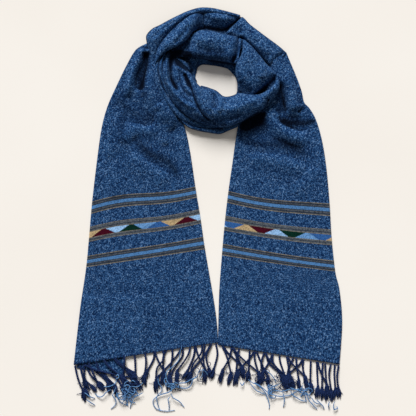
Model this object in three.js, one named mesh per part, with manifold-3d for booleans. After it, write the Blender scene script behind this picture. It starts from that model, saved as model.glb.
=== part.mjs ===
// A woven wool muffler laid out flat on a table, wound once into a neck loop, with two
// banded tails and a twisted fringe along each hem. Millimetres, +Z up, the table at z = 0,
// +Y towards the neck loop and the origin under the middle of the whole muffler.
import * as THREE from 'three';
import { mergeVertices } from 'three/addons/utils/BufferGeometryUtils.js';
import Module from 'manifold-3d';

const wasm = await Module();
wasm.setup();

// Driving dimensions
const cloth = 2;            // thickness of a single layer of the fulled wool cloth
const seam = 0.4;           // clearance between neighbouring stretches of cloth
const lowerTurn = 2.2;      // height of the hidden lower turn inside the loop
const loopFloor = lowerTurn + seam;  // the upper turns of the loop start here
const rim = 1.6;            // height of the rounded edge where an upper turn ends
const foldStep = cloth + seam;       // rise of the left tail over its turned-under selvedge

// Colours of the solids
const clothBlue = new THREE.MeshStandardMaterial({ color: 0x35527c, roughness: 0.95, metalness: 0 });
const deepBlue = new THREE.MeshStandardMaterial({ color: 0x1b2c4c, roughness: 0.95, metalness: 0 });
const fringeNavy = new THREE.MeshStandardMaterial({ color: 0x131f42, roughness: 0.9, metalness: 0 });

// Smooth curve through the rows of a table, column by column
function rowAt(table, t) {
  const span = Math.min(Math.max(t, 0), 1) * (table.length - 1);
  const i = Math.min(Math.floor(span), table.length - 2);
  const f = span - i;
  const before = table[Math.max(i - 1, 0)];
  const after = table[Math.min(i + 2, table.length - 1)];
  return table[i].map((from, k) => {
    const to = table[i + 1][k];
    const bend = (2 * from - 2 * to + (to - before[k]) / 2 + (after[k] - from) / 2) * f ** 3;
    const lift = (3 * (to - from) - (to - before[k]) - (after[k] - from) / 2) * f ** 2;
    return bend + lift + ((to - before[k]) / 2) * f + from;
  });
}

// Shortest distance from a point to a fold line, and how far along the line that is
function alongFold(fold, x, y) {
  let best = { distance: Infinity, share: 0 };
  for (let i = 0; i + 1 < fold.line.length; i += 1) {
    const [ax, ay] = fold.line[i];
    const [bx, by] = fold.line[i + 1];
    const length2 = (bx - ax) ** 2 + (by - ay) ** 2;
    const t = Math.min(Math.max(((x - ax) * (bx - ax) + (y - ay) * (by - ay)) / length2, 0), 1);
    const distance = Math.hypot(x - ax - t * (bx - ax), y - ay - t * (by - ay));
    if (distance < best.distance) best = { distance, share: (i + t) / (fold.line.length - 1) };
  }
  return best;
}

// Height of a soft fold above the flat cloth: full in the middle of its line, fading at both ends
function foldHeight(folds, x, y) {
  let height = 0;
  for (const fold of folds) {
    const { distance, share } = alongFold(fold, x, y);
    const fade = Math.sin(Math.PI * Math.min(Math.max(share, 0.12), 0.88)) ** 0.7;
    height = Math.max(height, fold.height * fade * Math.exp(-((distance / fold.width) ** 2)));
  }
  return height;
}

// Smooth rise from 0 to 1 as a value goes from one limit to the other, either way round
function smooth(value, from, to) {
  const t = Math.min(Math.max((value - from) / (to - from), 0), 1);
  return t * t * (3 - 2 * t);
}

// One closed body between an upper and a lower grid of points that share their rim
function slab(rows, columns, upper, lower) {
  const points = [];
  const faces = [];
  const across = columns + 1;
  const count = (rows + 1) * across;
  for (const side of [upper, lower]) {
    for (let i = 0; i <= rows; i += 1) {
      for (let j = 0; j <= columns; j += 1) points.push(...side(i / rows, j / columns));
    }
  }
  const quad = (a, b, c, d) => faces.push(a, b, c, a, c, d);
  for (let i = 0; i < rows; i += 1) {
    for (let j = 0; j < columns; j += 1) {
      const a = i * across + j;
      quad(a, a + 1, a + across + 1, a + across);
      quad(count + a, count + a + across, count + a + across + 1, count + a + 1);
    }
  }
  const rimLoop = [];
  for (let j = 0; j < columns; j += 1) rimLoop.push(j);
  for (let i = 0; i < rows; i += 1) rimLoop.push(i * across + columns);
  for (let j = columns; j > 0; j -= 1) rimLoop.push(rows * across + j);
  for (let i = rows; i > 0; i -= 1) rimLoop.push(i * across);
  rimLoop.forEach((a, k) => {
    const b = rimLoop[(k + 1) % rimLoop.length];
    quad(a, count + a, count + b, b);
  });
  const geometry = new THREE.BufferGeometry();
  geometry.setAttribute('position', new THREE.Float32BufferAttribute(points, 3));
  geometry.setIndex(faces);
  return outward(geometry);
}

// Turns the faces over where the winding of a table made them point inwards
function outward(geometry) {
  const position = geometry.getAttribute('position');
  const index = geometry.getIndex().array;
  const corner = (k) => new THREE.Vector3().fromBufferAttribute(position, index[k]);
  let volume = 0;
  for (let k = 0; k < index.length; k += 3) {
    volume += corner(k).dot(corner(k + 1).cross(corner(k + 2)));
  }
  if (volume < 0) {
    for (let k = 0; k < index.length; k += 3) {
      [index[k + 1], index[k + 2]] = [index[k + 2], index[k + 1]];
    }
  }
  return geometry;
}

function node(name, geometry, material) {
  const mesh = new THREE.Mesh(geometry, material);
  mesh.name = name;
  return mesh;
}

// A single layer of cloth lying on the table, whose folds are hollow beneath
function clothWall(table, rows, columns, heightAt) {
  const place = (s, u) => {
    const [leftX, leftY, rightX, rightY] = rowAt(table, s);
    return [leftX + (rightX - leftX) * u, leftY + (rightY - leftY) * u];
  };
  const upper = (s, u) => {
    const [x, y] = place(s, u);
    return [x, y, cloth + heightAt(x, y, s, u)];
  };
  const lower = (s, u) => {
    const [x, y] = place(s, u);
    return [x, y, heightAt(x, y, s, u)];
  };
  return slab(rows, columns, upper, lower);
}

// A rounded upper turn of the loop: an arch from its inner to its outer edge on a flat underside
function rolledTurn(table, rows, columns, troughs = []) {
  const place = (s, u) => {
    const row = rowAt(table, s);
    const [innerX, innerY, outerX, outerY, crown, peak] = row;
    const swing = (1 - Math.cos(Math.PI * u)) / 2;
    const share = 0.35 * swing + 0.65 * u;
    return { x: innerX + (outerX - innerX) * share, y: innerY + (outerY - innerY) * share, crown, peak, share };
  };
  const upper = (s, u) => {
    const { x, y, crown, peak, share } = place(s, u);
    const shifted = share ** (Math.log(0.5) / Math.log(peak));
    const arch = Math.max(Math.sin(Math.PI * shifted), 0) ** 0.75;
    const sunk = Math.min(foldHeight(troughs, x, y), (crown - loopFloor) * 0.6) * arch;
    return [x, y, loopFloor + rim + (crown - loopFloor - rim) * arch - sunk];
  };
  const lower = (s, u) => {
    const { x, y } = place(s, u);
    return [x, y, loopFloor];
  };
  return slab(rows, columns, upper, lower);
}

// Left tail, from its hem to where it slips under the loop
// columns: left edge x, y, right edge x, y
const leftTailRows = [
  [-235, -267.5, 17, -228.5],
  [-228, -206.5, 14.5, -192.5],
  [-222.5, -161, 10, -152],
  [-213, -97, -5, -65],
  [-207.5, -38.5, -13.5, -7],
  [-202.5, 18.5, -22, 44],
  [-194, 91, -31, 105],
  [-186, 147, -40, 147],
  [-175.5, 185, -52, 178],
  [-160, 220, -63, 208],
  [-143, 252, -74, 240],
  [-126.5, 280, -81.5, 272],
  [-108, 291.5, -84, 288],
];
const leftTailFolds = [
  { line: [[-131, 272], [-141, 240], [-150, 212]], height: 11, width: 13 },
  { line: [[-166, 208], [-146, 196], [-118, 178], [-96, 168]], height: 7, width: 15 },
  { line: [[-180, 160], [-150, 140], [-118, 112], [-88, 78]], height: 6, width: 17 },
  { line: [[-108, 228], [-113, 212], [-118, 198]], height: 5, width: 9 },
  { line: [[-74, 150], [-66, 120], [-58, 96]], height: 4, width: 12 },
];
// The selvedge turned under along the left edge shows below the front hem
const flapRows = [
  [-229, -275, -146, -290],
  [-225.5, -232, -144.5, -240],
  [-220, -180, -142, -180],
];
const flapTop = -163;
const flapRight = -122;
const overFlapAt = (x) => foldStep * smooth(x, flapRight + 16, flapRight);
const overFlap = (x, y) => overFlapAt(x) * smooth(y, flapTop + 20, flapTop);

// The loop presses a tail flat from its edge inwards; both circles follow the loop's outline there
const pressedLeft = (x, y) => smooth(Math.hypot(x, y - 235), 95, 110);
const pressedRight = (x, y) => smooth(Math.hypot(x - 35, y - 230), 92, 106);

function leftTail() {
  const height = (x, y, s, u) => (
    overFlap(x, y) + foldHeight(leftTailFolds, x, y) * pressedLeft(x, y) * smooth(u, 0, 0.1)
  );
  return [
    node('left_tail', clothWall(leftTailRows, 38, 12, height), clothBlue),
    node('left_tail_turned_selvedge', clothWall(flapRows, 4, 4, () => 0), deepBlue),
  ];
}

// Right tail, from its hem up to the crease on the shoulder of the loop
const rightTailRows = [
  [18.4, -232, 230.5, -266],
  [19, -186, 235, -192.5],
  [20.3, -137, 230.5, -137],
  [24.5, -75.5, 223, -104],
  [29.5, -19, 216.5, -43.5],
  [36, 37, 213, 15],
  [43, 86, 207.5, 77],
  [48.5, 126, 200, 124.5],
  [54.5, 157, 189.5, 161],
  [67, 180, 178, 181],
  [77.5, 198, 168.5, 192],
  [86, 214, 164, 211],
  [92.5, 229, 156, 233],
  [98.5, 237, 147, 255],
  [102.5, 241.5, 137, 276.5],
];
const rightTailFolds = [
  { line: [[119, 176], [127, 160], [146, 145], [170, 137]], height: 9, width: 9 },
  { line: [[144, 224], [144, 204], [149, 186], [160, 170]], height: 8, width: 9 },
  { line: [[78, 146], [110, 122], [150, 108], [184, 96]], height: 5, width: 15 },
  { line: [[128, 262], [121, 252]], height: 7, width: 9 },
];
// Right shoulder, the outer turn between the two creases that reach its outline
const rightShoulderRows = [
  [101.9, 242.1, 136.4, 277.1],
  [84, 259, 124.5, 286.5],
  [69, 272, 109, 297.5],
  [55, 284, 91.5, 311],
  [41, 293, 74, 324],
  [30, 301, 63.5, 335.5],
  [23.6, 309, 58.6, 338.5],
];
const shoulderCrown = 15;

function rightTailAndShoulder() {
  const tailHeight = (x, y, s, u) => (
    foldHeight(rightTailFolds, x, y) * pressedRight(x, y) * smooth(u, 0, 0.1) * smooth(u, 1, 0.94)
  );
  const shoulderHeight = (x, y, s, u) => shoulderCrown * smooth(u, 0.38, 0.72) * (1 - u ** 5) * (0.55 + 0.45 * s);
  return [
    node('right_tail', clothWall(rightTailRows, 38, 11, tailHeight), clothBlue),
    node('right_shoulder_turn', clothWall(rightShoulderRows, 12, 10, shoulderHeight), clothBlue),
  ];
}

// Upper turns of the loop
// columns: inner edge x, y, outer edge x, y, height of the crown, where the crown lies across
const foldedEdgeRows = [
  [-94.3, 254, -96.8, 255.5, 12, 0.5],
  [-93.7, 265.5, -100.2, 267, 16, 0.5],
  [-91.5, 277, -103, 281, 19, 0.5],
  [-87, 288.5, -106, 295.5, 22, 0.5],
  [-79.8, 300.8, -107.6, 307.5, 25, 0.5],
  [-71, 313, -102, 317.5, 25, 0.5],
  [-59.6, 324.6, -85.5, 326.5, 24, 0.5],
  [-45.6, 335.6, -66.5, 336, 23, 0.5],
  [-31.5, 345, -48, 346, 21, 0.5],
  [-17.4, 349.6, -31.3, 352, 20, 0.5],
  [-3.3, 348.2, -12, 355, 19, 0.5],
  [10.6, 345.9, 5.5, 354.5, 17, 0.5],
  [26.5, 344, 23, 352, 15, 0.5],
  [40, 342.6, 38.8, 347.5, 13, 0.5],
];
const leftShoulderRows = [
  [-91, 256, -93, 259, 16, 0.5],
  [-87.3, 266.3, -90.4, 273, 24, 0.5],
  [-78.5, 275.8, -85, 286.2, 29, 0.52],
  [-66.2, 283.6, -77, 299.5, 32, 0.55],
  [-54, 289.8, -67.5, 312.6, 34, 0.55],
  [-43, 297, -54.6, 325.8, 34, 0.55],
  [-36.5, 302, -39.5, 336.5, 31, 0.55],
  [-31.5, 306, -18.5, 345.6, 27, 0.6],
];
const topWrapRows = [
  [-29.8, 306.5, -16.4, 345.4, 13, 0.8],
  [-21, 313.9, -7.5, 347, 12, 0.8],
  [-12, 317, 0.5, 345.8, 12, 0.8],
  [-1, 316.4, 11, 344.2, 12, 0.8],
  [9, 314.6, 25, 342.4, 12, 0.8],
  [17.5, 312.8, 40, 341, 12, 0.8],
  [22.4, 310.5, 56, 338.3, 10, 0.8],
];
const innerTopRows = [
  [-58, 268.5, -52.5, 287, 22, 0.5],
  [-41.5, 270.5, -38, 298, 26, 0.5],
  [-22.5, 270, -20, 312.5, 28, 0.5],
  [-1.5, 267.5, 3.5, 314.5, 28, 0.5],
  [19.5, 267, 25, 309.5, 27, 0.5],
  [35.5, 267, 43, 306, 24, 0.5],
  [46.5, 265.5, 55, 301.5, 18, 0.45],
];
const innerRightRows = [
  [57.6, 296.5, 62.5, 297.5, 18, 0.5],
  [57.6, 286, 74.5, 286, 24, 0.4],
  [53.2, 271.5, 88.5, 272, 27, 0.4],
  [46.2, 257, 101, 258, 28, 0.45],
  [47.5, 241.5, 112.5, 246.5, 27, 0.45],
  [53, 226, 120, 237.5, 24, 0.45],
  [54.5, 217, 103, 224, 20, 0.4],
  [55.5, 211.5, 89.5, 206.5, 16, 0.4],
];
const throatRows = [
  [121.5, 231, 126, 226.5, 14, 0.5],
  [115.5, 217, 124.5, 211, 20, 0.5],
  [102.5, 206.5, 114, 197, 26, 0.5],
  [88, 202.5, 101, 181.5, 30, 0.5],
  [72, 206, 86, 172.5, 32, 0.5],
  [56.5, 208.5, 70.5, 163.5, 33, 0.5],
  [40.5, 202.5, 54.5, 153.5, 34, 0.5],
  [27.5, 203, 37.5, 147, 34, 0.5],
  [14.5, 213.5, 16, 146, 34, 0.5],
  [1, 218, -5, 150.5, 34, 0.5],
  [-12, 220, -24, 158.5, 34, 0.5],
  [-20, 227, -41, 169.5, 33, 0.5],
  [-26, 237.5, -54.8, 182.5, 31, 0.5],
  [-34.5, 246.5, -66, 197.5, 29, 0.5],
  [-45, 253.5, -73.8, 214, 27, 0.55],
  [-52.5, 258.5, -77.5, 231, 25, 0.6],
  [-59, 264, -77.5, 246.5, 22, 0.6],
  [-63.5, 273, -75.5, 262, 19, 0.6],
  [-64.5, 281, -73.5, 274.5, 16, 0.5],
];
const outerPleatRows = [
  [48.5, 147.5, 47.5, 145.5, 7, 0.5],
  [38.2, 145.4, 35.5, 141, 9, 0.5],
  [16, 144.4, 20.5, 136.5, 11, 0.5],
  [-5.6, 149, 0.5, 139, 12, 0.5],
  [-24.8, 157, -20, 143, 13, 0.5],
  [-42.4, 168, -36.5, 149.5, 14, 0.5],
  [-56.4, 181.2, -53, 166, 16, 0.5],
  [-68, 196.3, -69.5, 183.5, 17, 0.5],
  [-77.6, 212.6, -83.5, 200.5, 18, 0.5],
  [-84, 227, -92.5, 217, 19, 0.5],
  [-85.8, 243, -95, 233, 19, 0.5],
  [-83.5, 258, -94.5, 248, 17, 0.5],
  [-81.8, 268.5, -90.8, 252.5, 15, 0.5],
];
const middlePleatRows = [
  [-77, 221.5, -78.8, 221.2, 15, 0.5],
  [-78.9, 232, -83, 232, 19, 0.5],
  [-79, 245, -84.2, 245.8, 19, 0.5],
  [-77.2, 259, -82.2, 260, 17, 0.5],
  [-75.4, 270, -80, 270.6, 15, 0.5],
];

// Troughs pressed into the throat where its cloth bunches above the neck hole
const throatTroughs = [
  { line: [[-40, 236], [-34, 219], [-26, 202], [-15, 184], [-3, 170]], height: 12, width: 6 },
  { line: [[1, 208], [5, 192], [10, 176]], height: 11, width: 6 },
  { line: [[24, 194], [17, 184], [10, 174]], height: 8, width: 5 },
  { line: [[52, 196], [74, 190], [98, 194]], height: 6, width: 6 },
];
const innerRightTroughs = [
  { line: [[60, 262], [66, 244], [74, 228], [76, 214]], height: 9, width: 6 },
  { line: [[100, 254], [96, 240], [88, 226]], height: 7, width: 6 },
];
const innerTopTroughs = [
  { line: [[-46, 288], [-20, 289], [10, 286], [38, 284]], height: 6, width: 6 },
];

function upperTurns() {
  const turns = [
    ['folded_edge_turn', foldedEdgeRows, 32, 6],
    ['left_shoulder_turn', leftShoulderRows, 21, 8],
    ['top_turn', topWrapRows, 14, 8],
    ['inner_top_turn', innerTopRows, 14, 8, innerTopTroughs],
    ['inner_right_turn', innerRightRows, 18, 10, innerRightTroughs],
    ['throat_turn', throatRows, 44, 10, throatTroughs],
    ['outer_pleat', outerPleatRows, 26, 4],
    ['middle_pleat', middlePleatRows, 12, 3],
  ];
  return turns.map(([name, rows, steps, across, troughs]) => (
    node(name, rolledTurn(rows, steps, across, troughs), clothBlue)
  ));
}

// The hidden lower turn that carries the loop and shows as a low lip round the neck hole
// columns: neck hole x, y, hidden outer edge x, y
const lowerTurnRows = [
  [-19, 226, -42, 206],
  [-22, 233, -60, 226],
  [-20, 247, -68, 252],
  [-16.5, 256.5, -74, 284],
  [-10, 259.5, -66, 312],
  [-3, 259.3, -40, 332],
  [5.5, 258, -10, 342],
  [12.5, 256.4, 14, 334],
  [19.5, 254.6, 14, 306],
  [33.5, 251.5, 44, 280],
  [41.5, 244.5, 68, 262],
  [48.5, 233, 84, 238],
  [52, 220.5, 80, 212],
  [48.5, 206, 68, 186],
  [34, 201, 46, 172],
  [21, 206, 22, 162],
  [5, 216, -2, 166],
  [-12, 220, -24, 184],
];

function lowerTurnLayer() {
  const upper = (s, u) => {
    const [holeX, holeY, outerX, outerY] = rowAt(lowerTurnRows, s);
    const height = lowerTurn - cloth * 0.5 * (1 - smooth(u, 0, 0.12));
    return [holeX + (outerX - holeX) * u, holeY + (outerY - holeY) * u, height];
  };
  const lower = (s, u) => [...upper(s, u).slice(0, 2), 0];
  return node('lower_turn', slab(38, 3, upper, lower), deepBlue);
}

// Twisted fringe: cords with a knot and a brushed end, and loose yarn ends over them
const cordRadius = 1.6;
const yarnRadius = 0.75;
const tableGap = 0.5;       // the fringe lies just above the table
const stripDepth = 4;       // the narrow strip of hem that the cords are knotted through
const stripHeight = 1.6;

// A tube with a few flat sides along a line of points, its radius changing from ring to ring
function tube(line, radii, sides) {
  const points = [];
  const faces = [];
  line.forEach((centre, i) => {
    const ahead = line[Math.min(i + 1, line.length - 1)].clone().sub(line[Math.max(i - 1, 0)]).normalize();
    const side = new THREE.Vector3(0, 0, 1).cross(ahead).normalize();
    const up = ahead.clone().cross(side);
    for (let k = 0; k < sides; k += 1) {
      const turn = ((k + 0.5) / sides) * 2 * Math.PI;
      const out = side.clone().multiplyScalar(Math.cos(turn)).addScaledVector(up, Math.sin(turn));
      points.push(...centre.clone().addScaledVector(out, radii[i]).toArray());
    }
  });
  for (let i = 0; i + 1 < line.length; i += 1) {
    for (let k = 0; k < sides; k += 1) {
      const a = i * sides + k;
      const b = i * sides + ((k + 1) % sides);
      faces.push(a, b, b + sides, a, b + sides, a + sides);
    }
  }
  for (let k = 1; k + 1 < sides; k += 1) {
    faces.push(0, k + 1, k);
    const end = (line.length - 1) * sides;
    faces.push(end, end + k, end + k + 1);
  }
  const geometry = new THREE.BufferGeometry();
  geometry.setAttribute('position', new THREE.Float32BufferAttribute(points, 3));
  geometry.setIndex(faces);
  return outward(geometry);
}

function toManifold(geometry) {
  const bare = geometry.clone();
  bare.deleteAttribute('normal');
  bare.deleteAttribute('uv');
  const merged = mergeVertices(bare);
  return new wasm.Manifold(new wasm.Mesh({
    numProp: 3,
    vertProperties: new Float32Array(merged.getAttribute('position').array),
    triVerts: new Uint32Array(merged.getIndex().array),
  }));
}

function fromManifold(solid) {
  const mesh = solid.getMesh();
  const geometry = new THREE.BufferGeometry();
  geometry.setAttribute('position', new THREE.BufferAttribute(mesh.vertProperties, 3));
  geometry.setIndex(new THREE.BufferAttribute(mesh.triVerts, 1));
  return geometry;
}

// columns: sideways lean of the cord over its length, length of the whole cord, shift of its root
const leftCords = [
  [9, 62], [9, 50], [10, 60], [10, 50], [10, 52], [9, 56], [7, 64], [3, 62], [0, 60], [-2, 58],
  [-6, 52], [-9, 66], [-8, 60], [-4, 54], [-10, 64], [-10, 58], [-9, 52], [-8, 48], [-6, 58], [-4, 52], [-4, 54],
];
const selvedgeCords = [[10, 46, -2], [7, 46, 1], [12, 46, -1], [17, 46], [14, 46, 1], [7, 42, 2], [5, 38]];
const rightCords = [
  [2, 62], [-8, 60], [3, 54], [1, 62], [-2, 56], [8, 62], [3, 58], [10, 64], [12, 66], [9, 56],
  [8, 54], [4, 58], [2, 50], [2, 52], [0, 58], [1, 62], [0, 60], [-2, 62], [-4, 66], [-5, 64], [-6, 60],
];
// columns: which cord a loose end leaves, its sideways reach and its length
const leftYarns = [[11, -6, 36], [12, 10, 40], [14, 12, 44], [15, 14, 40], [17, 16, 30]];
const selvedgeYarns = [[1, 6, 28], [2, -8, 34], [3, 8, 34.5], [4, 10, 28], [5, 14, 26]];
const rightYarns = [[4, 6, 34], [6, 10, 30], [8, -6, 36], [10, 4, 40], [13, 10, 38], [16, 6, 40], [18, 4, 34]];

function fringe(name, hemLeft, hemRight, cords, yarns, liftAt = () => 0) {
  const left = new THREE.Vector3(...hemLeft, 0);
  const along = new THREE.Vector3(...hemRight, 0).sub(left);
  const stripPoint = (s, u) => [left.x + along.x * s, left.y + along.y * s - u * stripDepth];
  const strip = slab(
    cords.length,
    1,
    (s, u) => [...stripPoint(s, u), tableGap + stripHeight + liftAt(stripPoint(s, u)[0])],
    (s, u) => [...stripPoint(s, u), tableGap + liftAt(stripPoint(s, u)[0])],
  );
  // columns: share of the cord's length, height above the lowest point, radius
  const profile = [
    [0, 0.2, 0.9], [0.1, 0, 1], [0.55, 0, 1], [0.69, 0, 0.9],
    [0.74, 1, 1.75], [0.79, 0, 1], [0.9, 0.5, 1.6], [1, 0, 0.5],
  ];
  const cordLine = (i) => {
    const [lean, length, shift = 0] = cords[i];
    const [rootX, rootY] = stripPoint((i + 0.5) / cords.length, 0.6);
    return profile.map(([share, rise]) => new THREE.Vector3(
      rootX + shift + lean * share ** 1.4,
      rootY - length * share,
      tableGap + cordRadius + rise + liftAt(rootX) * smooth(share, 0.78, 0.6),
    ));
  };
  const knotRing = 4;
  let solid = toManifold(strip);
  cords.forEach((cord, i) => {
    const radii = profile.map(([, , width]) => width * cordRadius);
    solid = solid.add(toManifold(tube(cordLine(i), radii, 4)));
  });
  yarns.forEach(([from, reach, length], i) => {
    const knot = cordLine(from)[knotRing];
    const curl = i % 2 ? -3 : 3;
    const point = (share, height, sway) => new THREE.Vector3(
      knot.x + reach * share + curl * sway,
      knot.y - length * share,
      tableGap + yarnRadius + height,
    );
    const line = [
      point(0, 1.5, 0), point(0.12, 4.6, 0.2), point(0.4, 5.4, 1),
      point(0.7, 3.5, -0.4), point(0.9, 0.6, 0.6), point(1, 0.2, 1.2),
    ];
    solid = solid.add(toManifold(tube(line, line.map(() => yarnRadius), 3)));
  });
  return node(name, fromManifold(solid), fringeNavy);
}

const muffler = new THREE.Group();
muffler.add(
  ...leftTail(),
  ...rightTailAndShoulder(),
  lowerTurnLayer(),
  ...upperTurns(),
  fringe('left_fringe', [-234, -267.9], [16.5, -229.1], leftCords, leftYarns, overFlapAt),
  fringe('turned_selvedge_fringe', [-225.8, -276.2], [-142.3, -291.3], selvedgeCords, selvedgeYarns),
  fringe('right_fringe', [19.5, -232.8], [230, -266.5], rightCords, rightYarns),
);
export default muffler;
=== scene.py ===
import math
import random

import bmesh
import bpy
import numpy
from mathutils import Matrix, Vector, noise


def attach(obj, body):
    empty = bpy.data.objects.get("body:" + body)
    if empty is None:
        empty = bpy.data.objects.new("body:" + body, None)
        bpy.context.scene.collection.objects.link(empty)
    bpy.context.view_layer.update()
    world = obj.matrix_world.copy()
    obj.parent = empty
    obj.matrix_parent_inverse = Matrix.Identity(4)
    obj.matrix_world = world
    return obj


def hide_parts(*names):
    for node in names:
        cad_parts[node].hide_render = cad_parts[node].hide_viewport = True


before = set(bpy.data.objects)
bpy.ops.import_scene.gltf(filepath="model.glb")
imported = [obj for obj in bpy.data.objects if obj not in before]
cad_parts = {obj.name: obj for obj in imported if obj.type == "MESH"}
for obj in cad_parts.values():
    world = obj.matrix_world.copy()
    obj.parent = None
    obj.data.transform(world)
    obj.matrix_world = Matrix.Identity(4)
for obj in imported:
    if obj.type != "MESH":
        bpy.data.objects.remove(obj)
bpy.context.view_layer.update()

print("muffler: frame loaded, all tables below are in millimetres")

mm = 0.001
cameraHeight = 2.0  # metres over the floor


# Shared shaping

def rowAt(table, t):  # a smooth curve through the rows of a table, column by column
    span = min(max(t, 0.0), 1.0) * (len(table) - 1)
    i = min(int(span), len(table) - 2)
    f = span - i
    before, after = table[max(i - 1, 0)], table[min(i + 2, len(table) - 1)]
    found = []
    for k, start in enumerate(table[i]):
        end = table[i + 1][k]
        slopeIn, slopeOut = (end - before[k]) / 2, (after[k] - start) / 2
        bend = (2 * start - 2 * end + slopeIn + slopeOut) * f ** 3
        lift = (3 * (end - start) - 2 * slopeIn - slopeOut) * f ** 2
        found.append(bend + lift + slopeIn * f + start)
    return found


def smooth(value, low, high):  # rises from 0 to 1 between the limits, either way round
    t = min(max((value - low) / (high - low), 0.0), 1.0)
    return t * t * (3 - 2 * t)


def nearLine(line, x, y):  # distance from a line, and the share of the way along it
    best = (math.inf, 0.0)
    for i in range(len(line) - 1):
        ax, ay = line[i]
        bx, by = line[i + 1]
        dx, dy = bx - ax, by - ay
        t = min(max(((x - ax) * dx + (y - ay) * dy) / (dx * dx + dy * dy), 0.0), 1.0)
        away = math.hypot(x - ax - t * dx, y - ay - t * dy)
        if away < best[0]:
            best = (away, (i + t) / (len(line) - 1))
    return best


# A fold is [height, width, sharpness, ends, line]: height over 0 is a ridge and under 0 a trough,
# sharpness 2 is round and 1 is a crisp crease, ends says which ends stay full: none, start, end, both
foldShape = {
    "reach": 3.2,                    # in widths, past which a fold adds nothing
    "fadeOut": -0.03, "full": 0.2,   # shares of its length over which an end fades
    "endWidth": 0.7, "swell": 0.45,  # in widths, at its ends and more in its middle
}
curves = {}


def curveThrough(line):  # the smooth line through the points of a fold
    key = tuple(line)
    if key not in curves:
        count = 5 * (len(line) - 1)
        curves[key] = [rowAt(line, k / count) for k in range(count + 1)]
    return curves[key]


def foldLift(folds, x, y):
    shape = foldShape
    total = 0.0
    for height, width, sharpness, ends, corners in folds:
        reach = shape["reach"] * width
        line = curveThrough(corners)
        if any(not min(side) - reach < at < max(side) + reach for at, side in zip((x, y), zip(*line))):
            continue
        away, share = nearLine(line, x, y)
        if away > reach:
            continue
        fade = 1.0
        if ends in ("none", "end"):
            fade *= smooth(share, shape["fadeOut"], shape["full"])
        if ends in ("none", "start"):
            fade *= smooth(share, 1 - shape["fadeOut"], 1 - shape["full"])
        taper = width * (shape["endWidth"] + shape["swell"] * math.sin(math.pi * share))
        total += height * fade * math.exp(-((away / taper) ** sharpness))
    return total


# The charts are read off the photograph, where cloth that stands high looks further out than it is
def drawnIn(x, y, z):
    share = 1 - z * mm / cameraHeight
    return x * share, y * share, z


def crinkle(x, y, waves):  # each wave is its size and height in mm, and a seed
    return sum(height * noise.noise(Vector((x / size, y / size, seed))) for size, height, seed in waves)


def newPiece(name, bm, material):
    mesh = bpy.data.meshes.new(name)
    bm.to_mesh(mesh)
    bm.free()
    mesh.materials.append(material)
    piece = bpy.data.objects.new(name, mesh)
    bpy.context.collection.objects.link(piece)
    for face in mesh.polygons:
        face.use_smooth = True
    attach(piece, "root")
    return piece


def blurred(grid, reach, axis):
    reach = max(1, reach)
    ends = [(reach, reach) if axis == k else (0, 0) for k in range(2)]
    padded = numpy.pad(grid, ends, mode="edge")
    total = sum(numpy.roll(padded, k, axis) for k in range(-reach, reach + 1)) / (2 * reach + 1)
    return total[reach:-reach] if axis == 0 else total[:, reach:-reach]


# Painted shade in the creases: reach in mm, depth in mm that counts as deep, share of each scale
creaseShade = {"scales": [(4.0, 2.4, 0.55), (11.0, 5.5, 0.65)], "darkest": 1.2}


# Lays a sheet: place(s, q) gives the point in mm, s along the stretch and q across it
def laySheet(name, place, along, across, material, wall, clothUv=None, paintedContactShade=None):
    bm = bmesh.new()
    bmesh.ops.create_grid(bm, x_segments=across, y_segments=along, size=0.5)
    spots = {}
    for vert in bm.verts:
        j = round((vert.co.x + 0.5) * across)
        i = round((vert.co.y + 0.5) * along)
        spots[vert.index] = (i, j)
        vert.co = Vector(place(i / along, j / across)) * mm
    byPlace = {spots[v.index]: v for v in bm.verts}
    # lengths of cloth along the middle and across each row, for the weave
    alongAt = [0.0]
    for i in range(along):
        step = (byPlace[(i + 1, across // 2)].co - byPlace[(i, across // 2)].co).length
        alongAt.append(alongAt[-1] + step)
    acrossAt = []
    for i in range(along + 1):
        row = [0.0]
        for j in range(across):
            row.append(row[-1] + (byPlace[(i, j + 1)].co - byPlace[(i, j)].co).length)
        acrossAt.append(row)
    layer = bm.loops.layers.uv.new("cloth")
    for face in bm.faces:
        for loop in face.loops:
            i, j = spots[loop.vert.index]
            if clothUv:
                u, v = clothUv(i / along, j / across)
                loop[layer].uv = (u * mm, v * mm)
            else:
                loop[layer].uv = (acrossAt[i][j], alongAt[i])
    bmesh.ops.recalc_face_normals(bm, faces=bm.faces)
    if sum(f.normal.z * f.calc_area() for f in bm.faces) < 0:
        bmesh.ops.reverse_faces(bm, faces=bm.faces)
    girth = sum(row[-1] for row in acrossAt) / len(acrossAt)
    # how far each point lies below the cloth around it, for the shade painted into the colour down in the
    # creases, plus the painted contact shade
    rows = [[byPlace[(i, j)].co.z for j in range(across + 1)] for i in range(along + 1)]
    heights = numpy.array(rows) / mm
    paintedCreaseShade = numpy.zeros_like(heights)
    for reach, depth, share in creaseShade["scales"]:
        stepI, stepJ = round(reach * mm * along / alongAt[-1]), round(reach * mm * across / girth)
        around = heights
        for _ in range(2):
            around = blurred(blurred(around, stepI, 0), stepJ, 1)
        paintedCreaseShade += share * numpy.clip((around - heights) / depth, -1, 1)
    # painted shade, kept in an attribute that darkens the cloth's colour
    shade = bm.verts.layers.float.new("paintedCreaseShade")
    for vert in bm.verts:
        i, j = spots[vert.index]
        near = paintedContactShade(i / along, j / across) if paintedContactShade else 0.0
        vert[shade] = min(max(float(paintedCreaseShade[i, j]), -1.0) + near, creaseShade["darkest"])
    piece = newPiece(name, bm, material)
    shell = piece.modifiers.new("wall", "SOLIDIFY")
    shell.thickness = wall * mm
    shell.offset = -1
    return piece, girth, alongAt[-1]


# Materials

def srgb(r, g, b):  # a picture's colour as the linear one that Blender takes
    parts = [c / 255 / 12.92 if c <= 10 else ((c / 255 + 0.055) / 1.055) ** 2.4 for c in (r, g, b)]
    return (*parts, 1.0)


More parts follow.
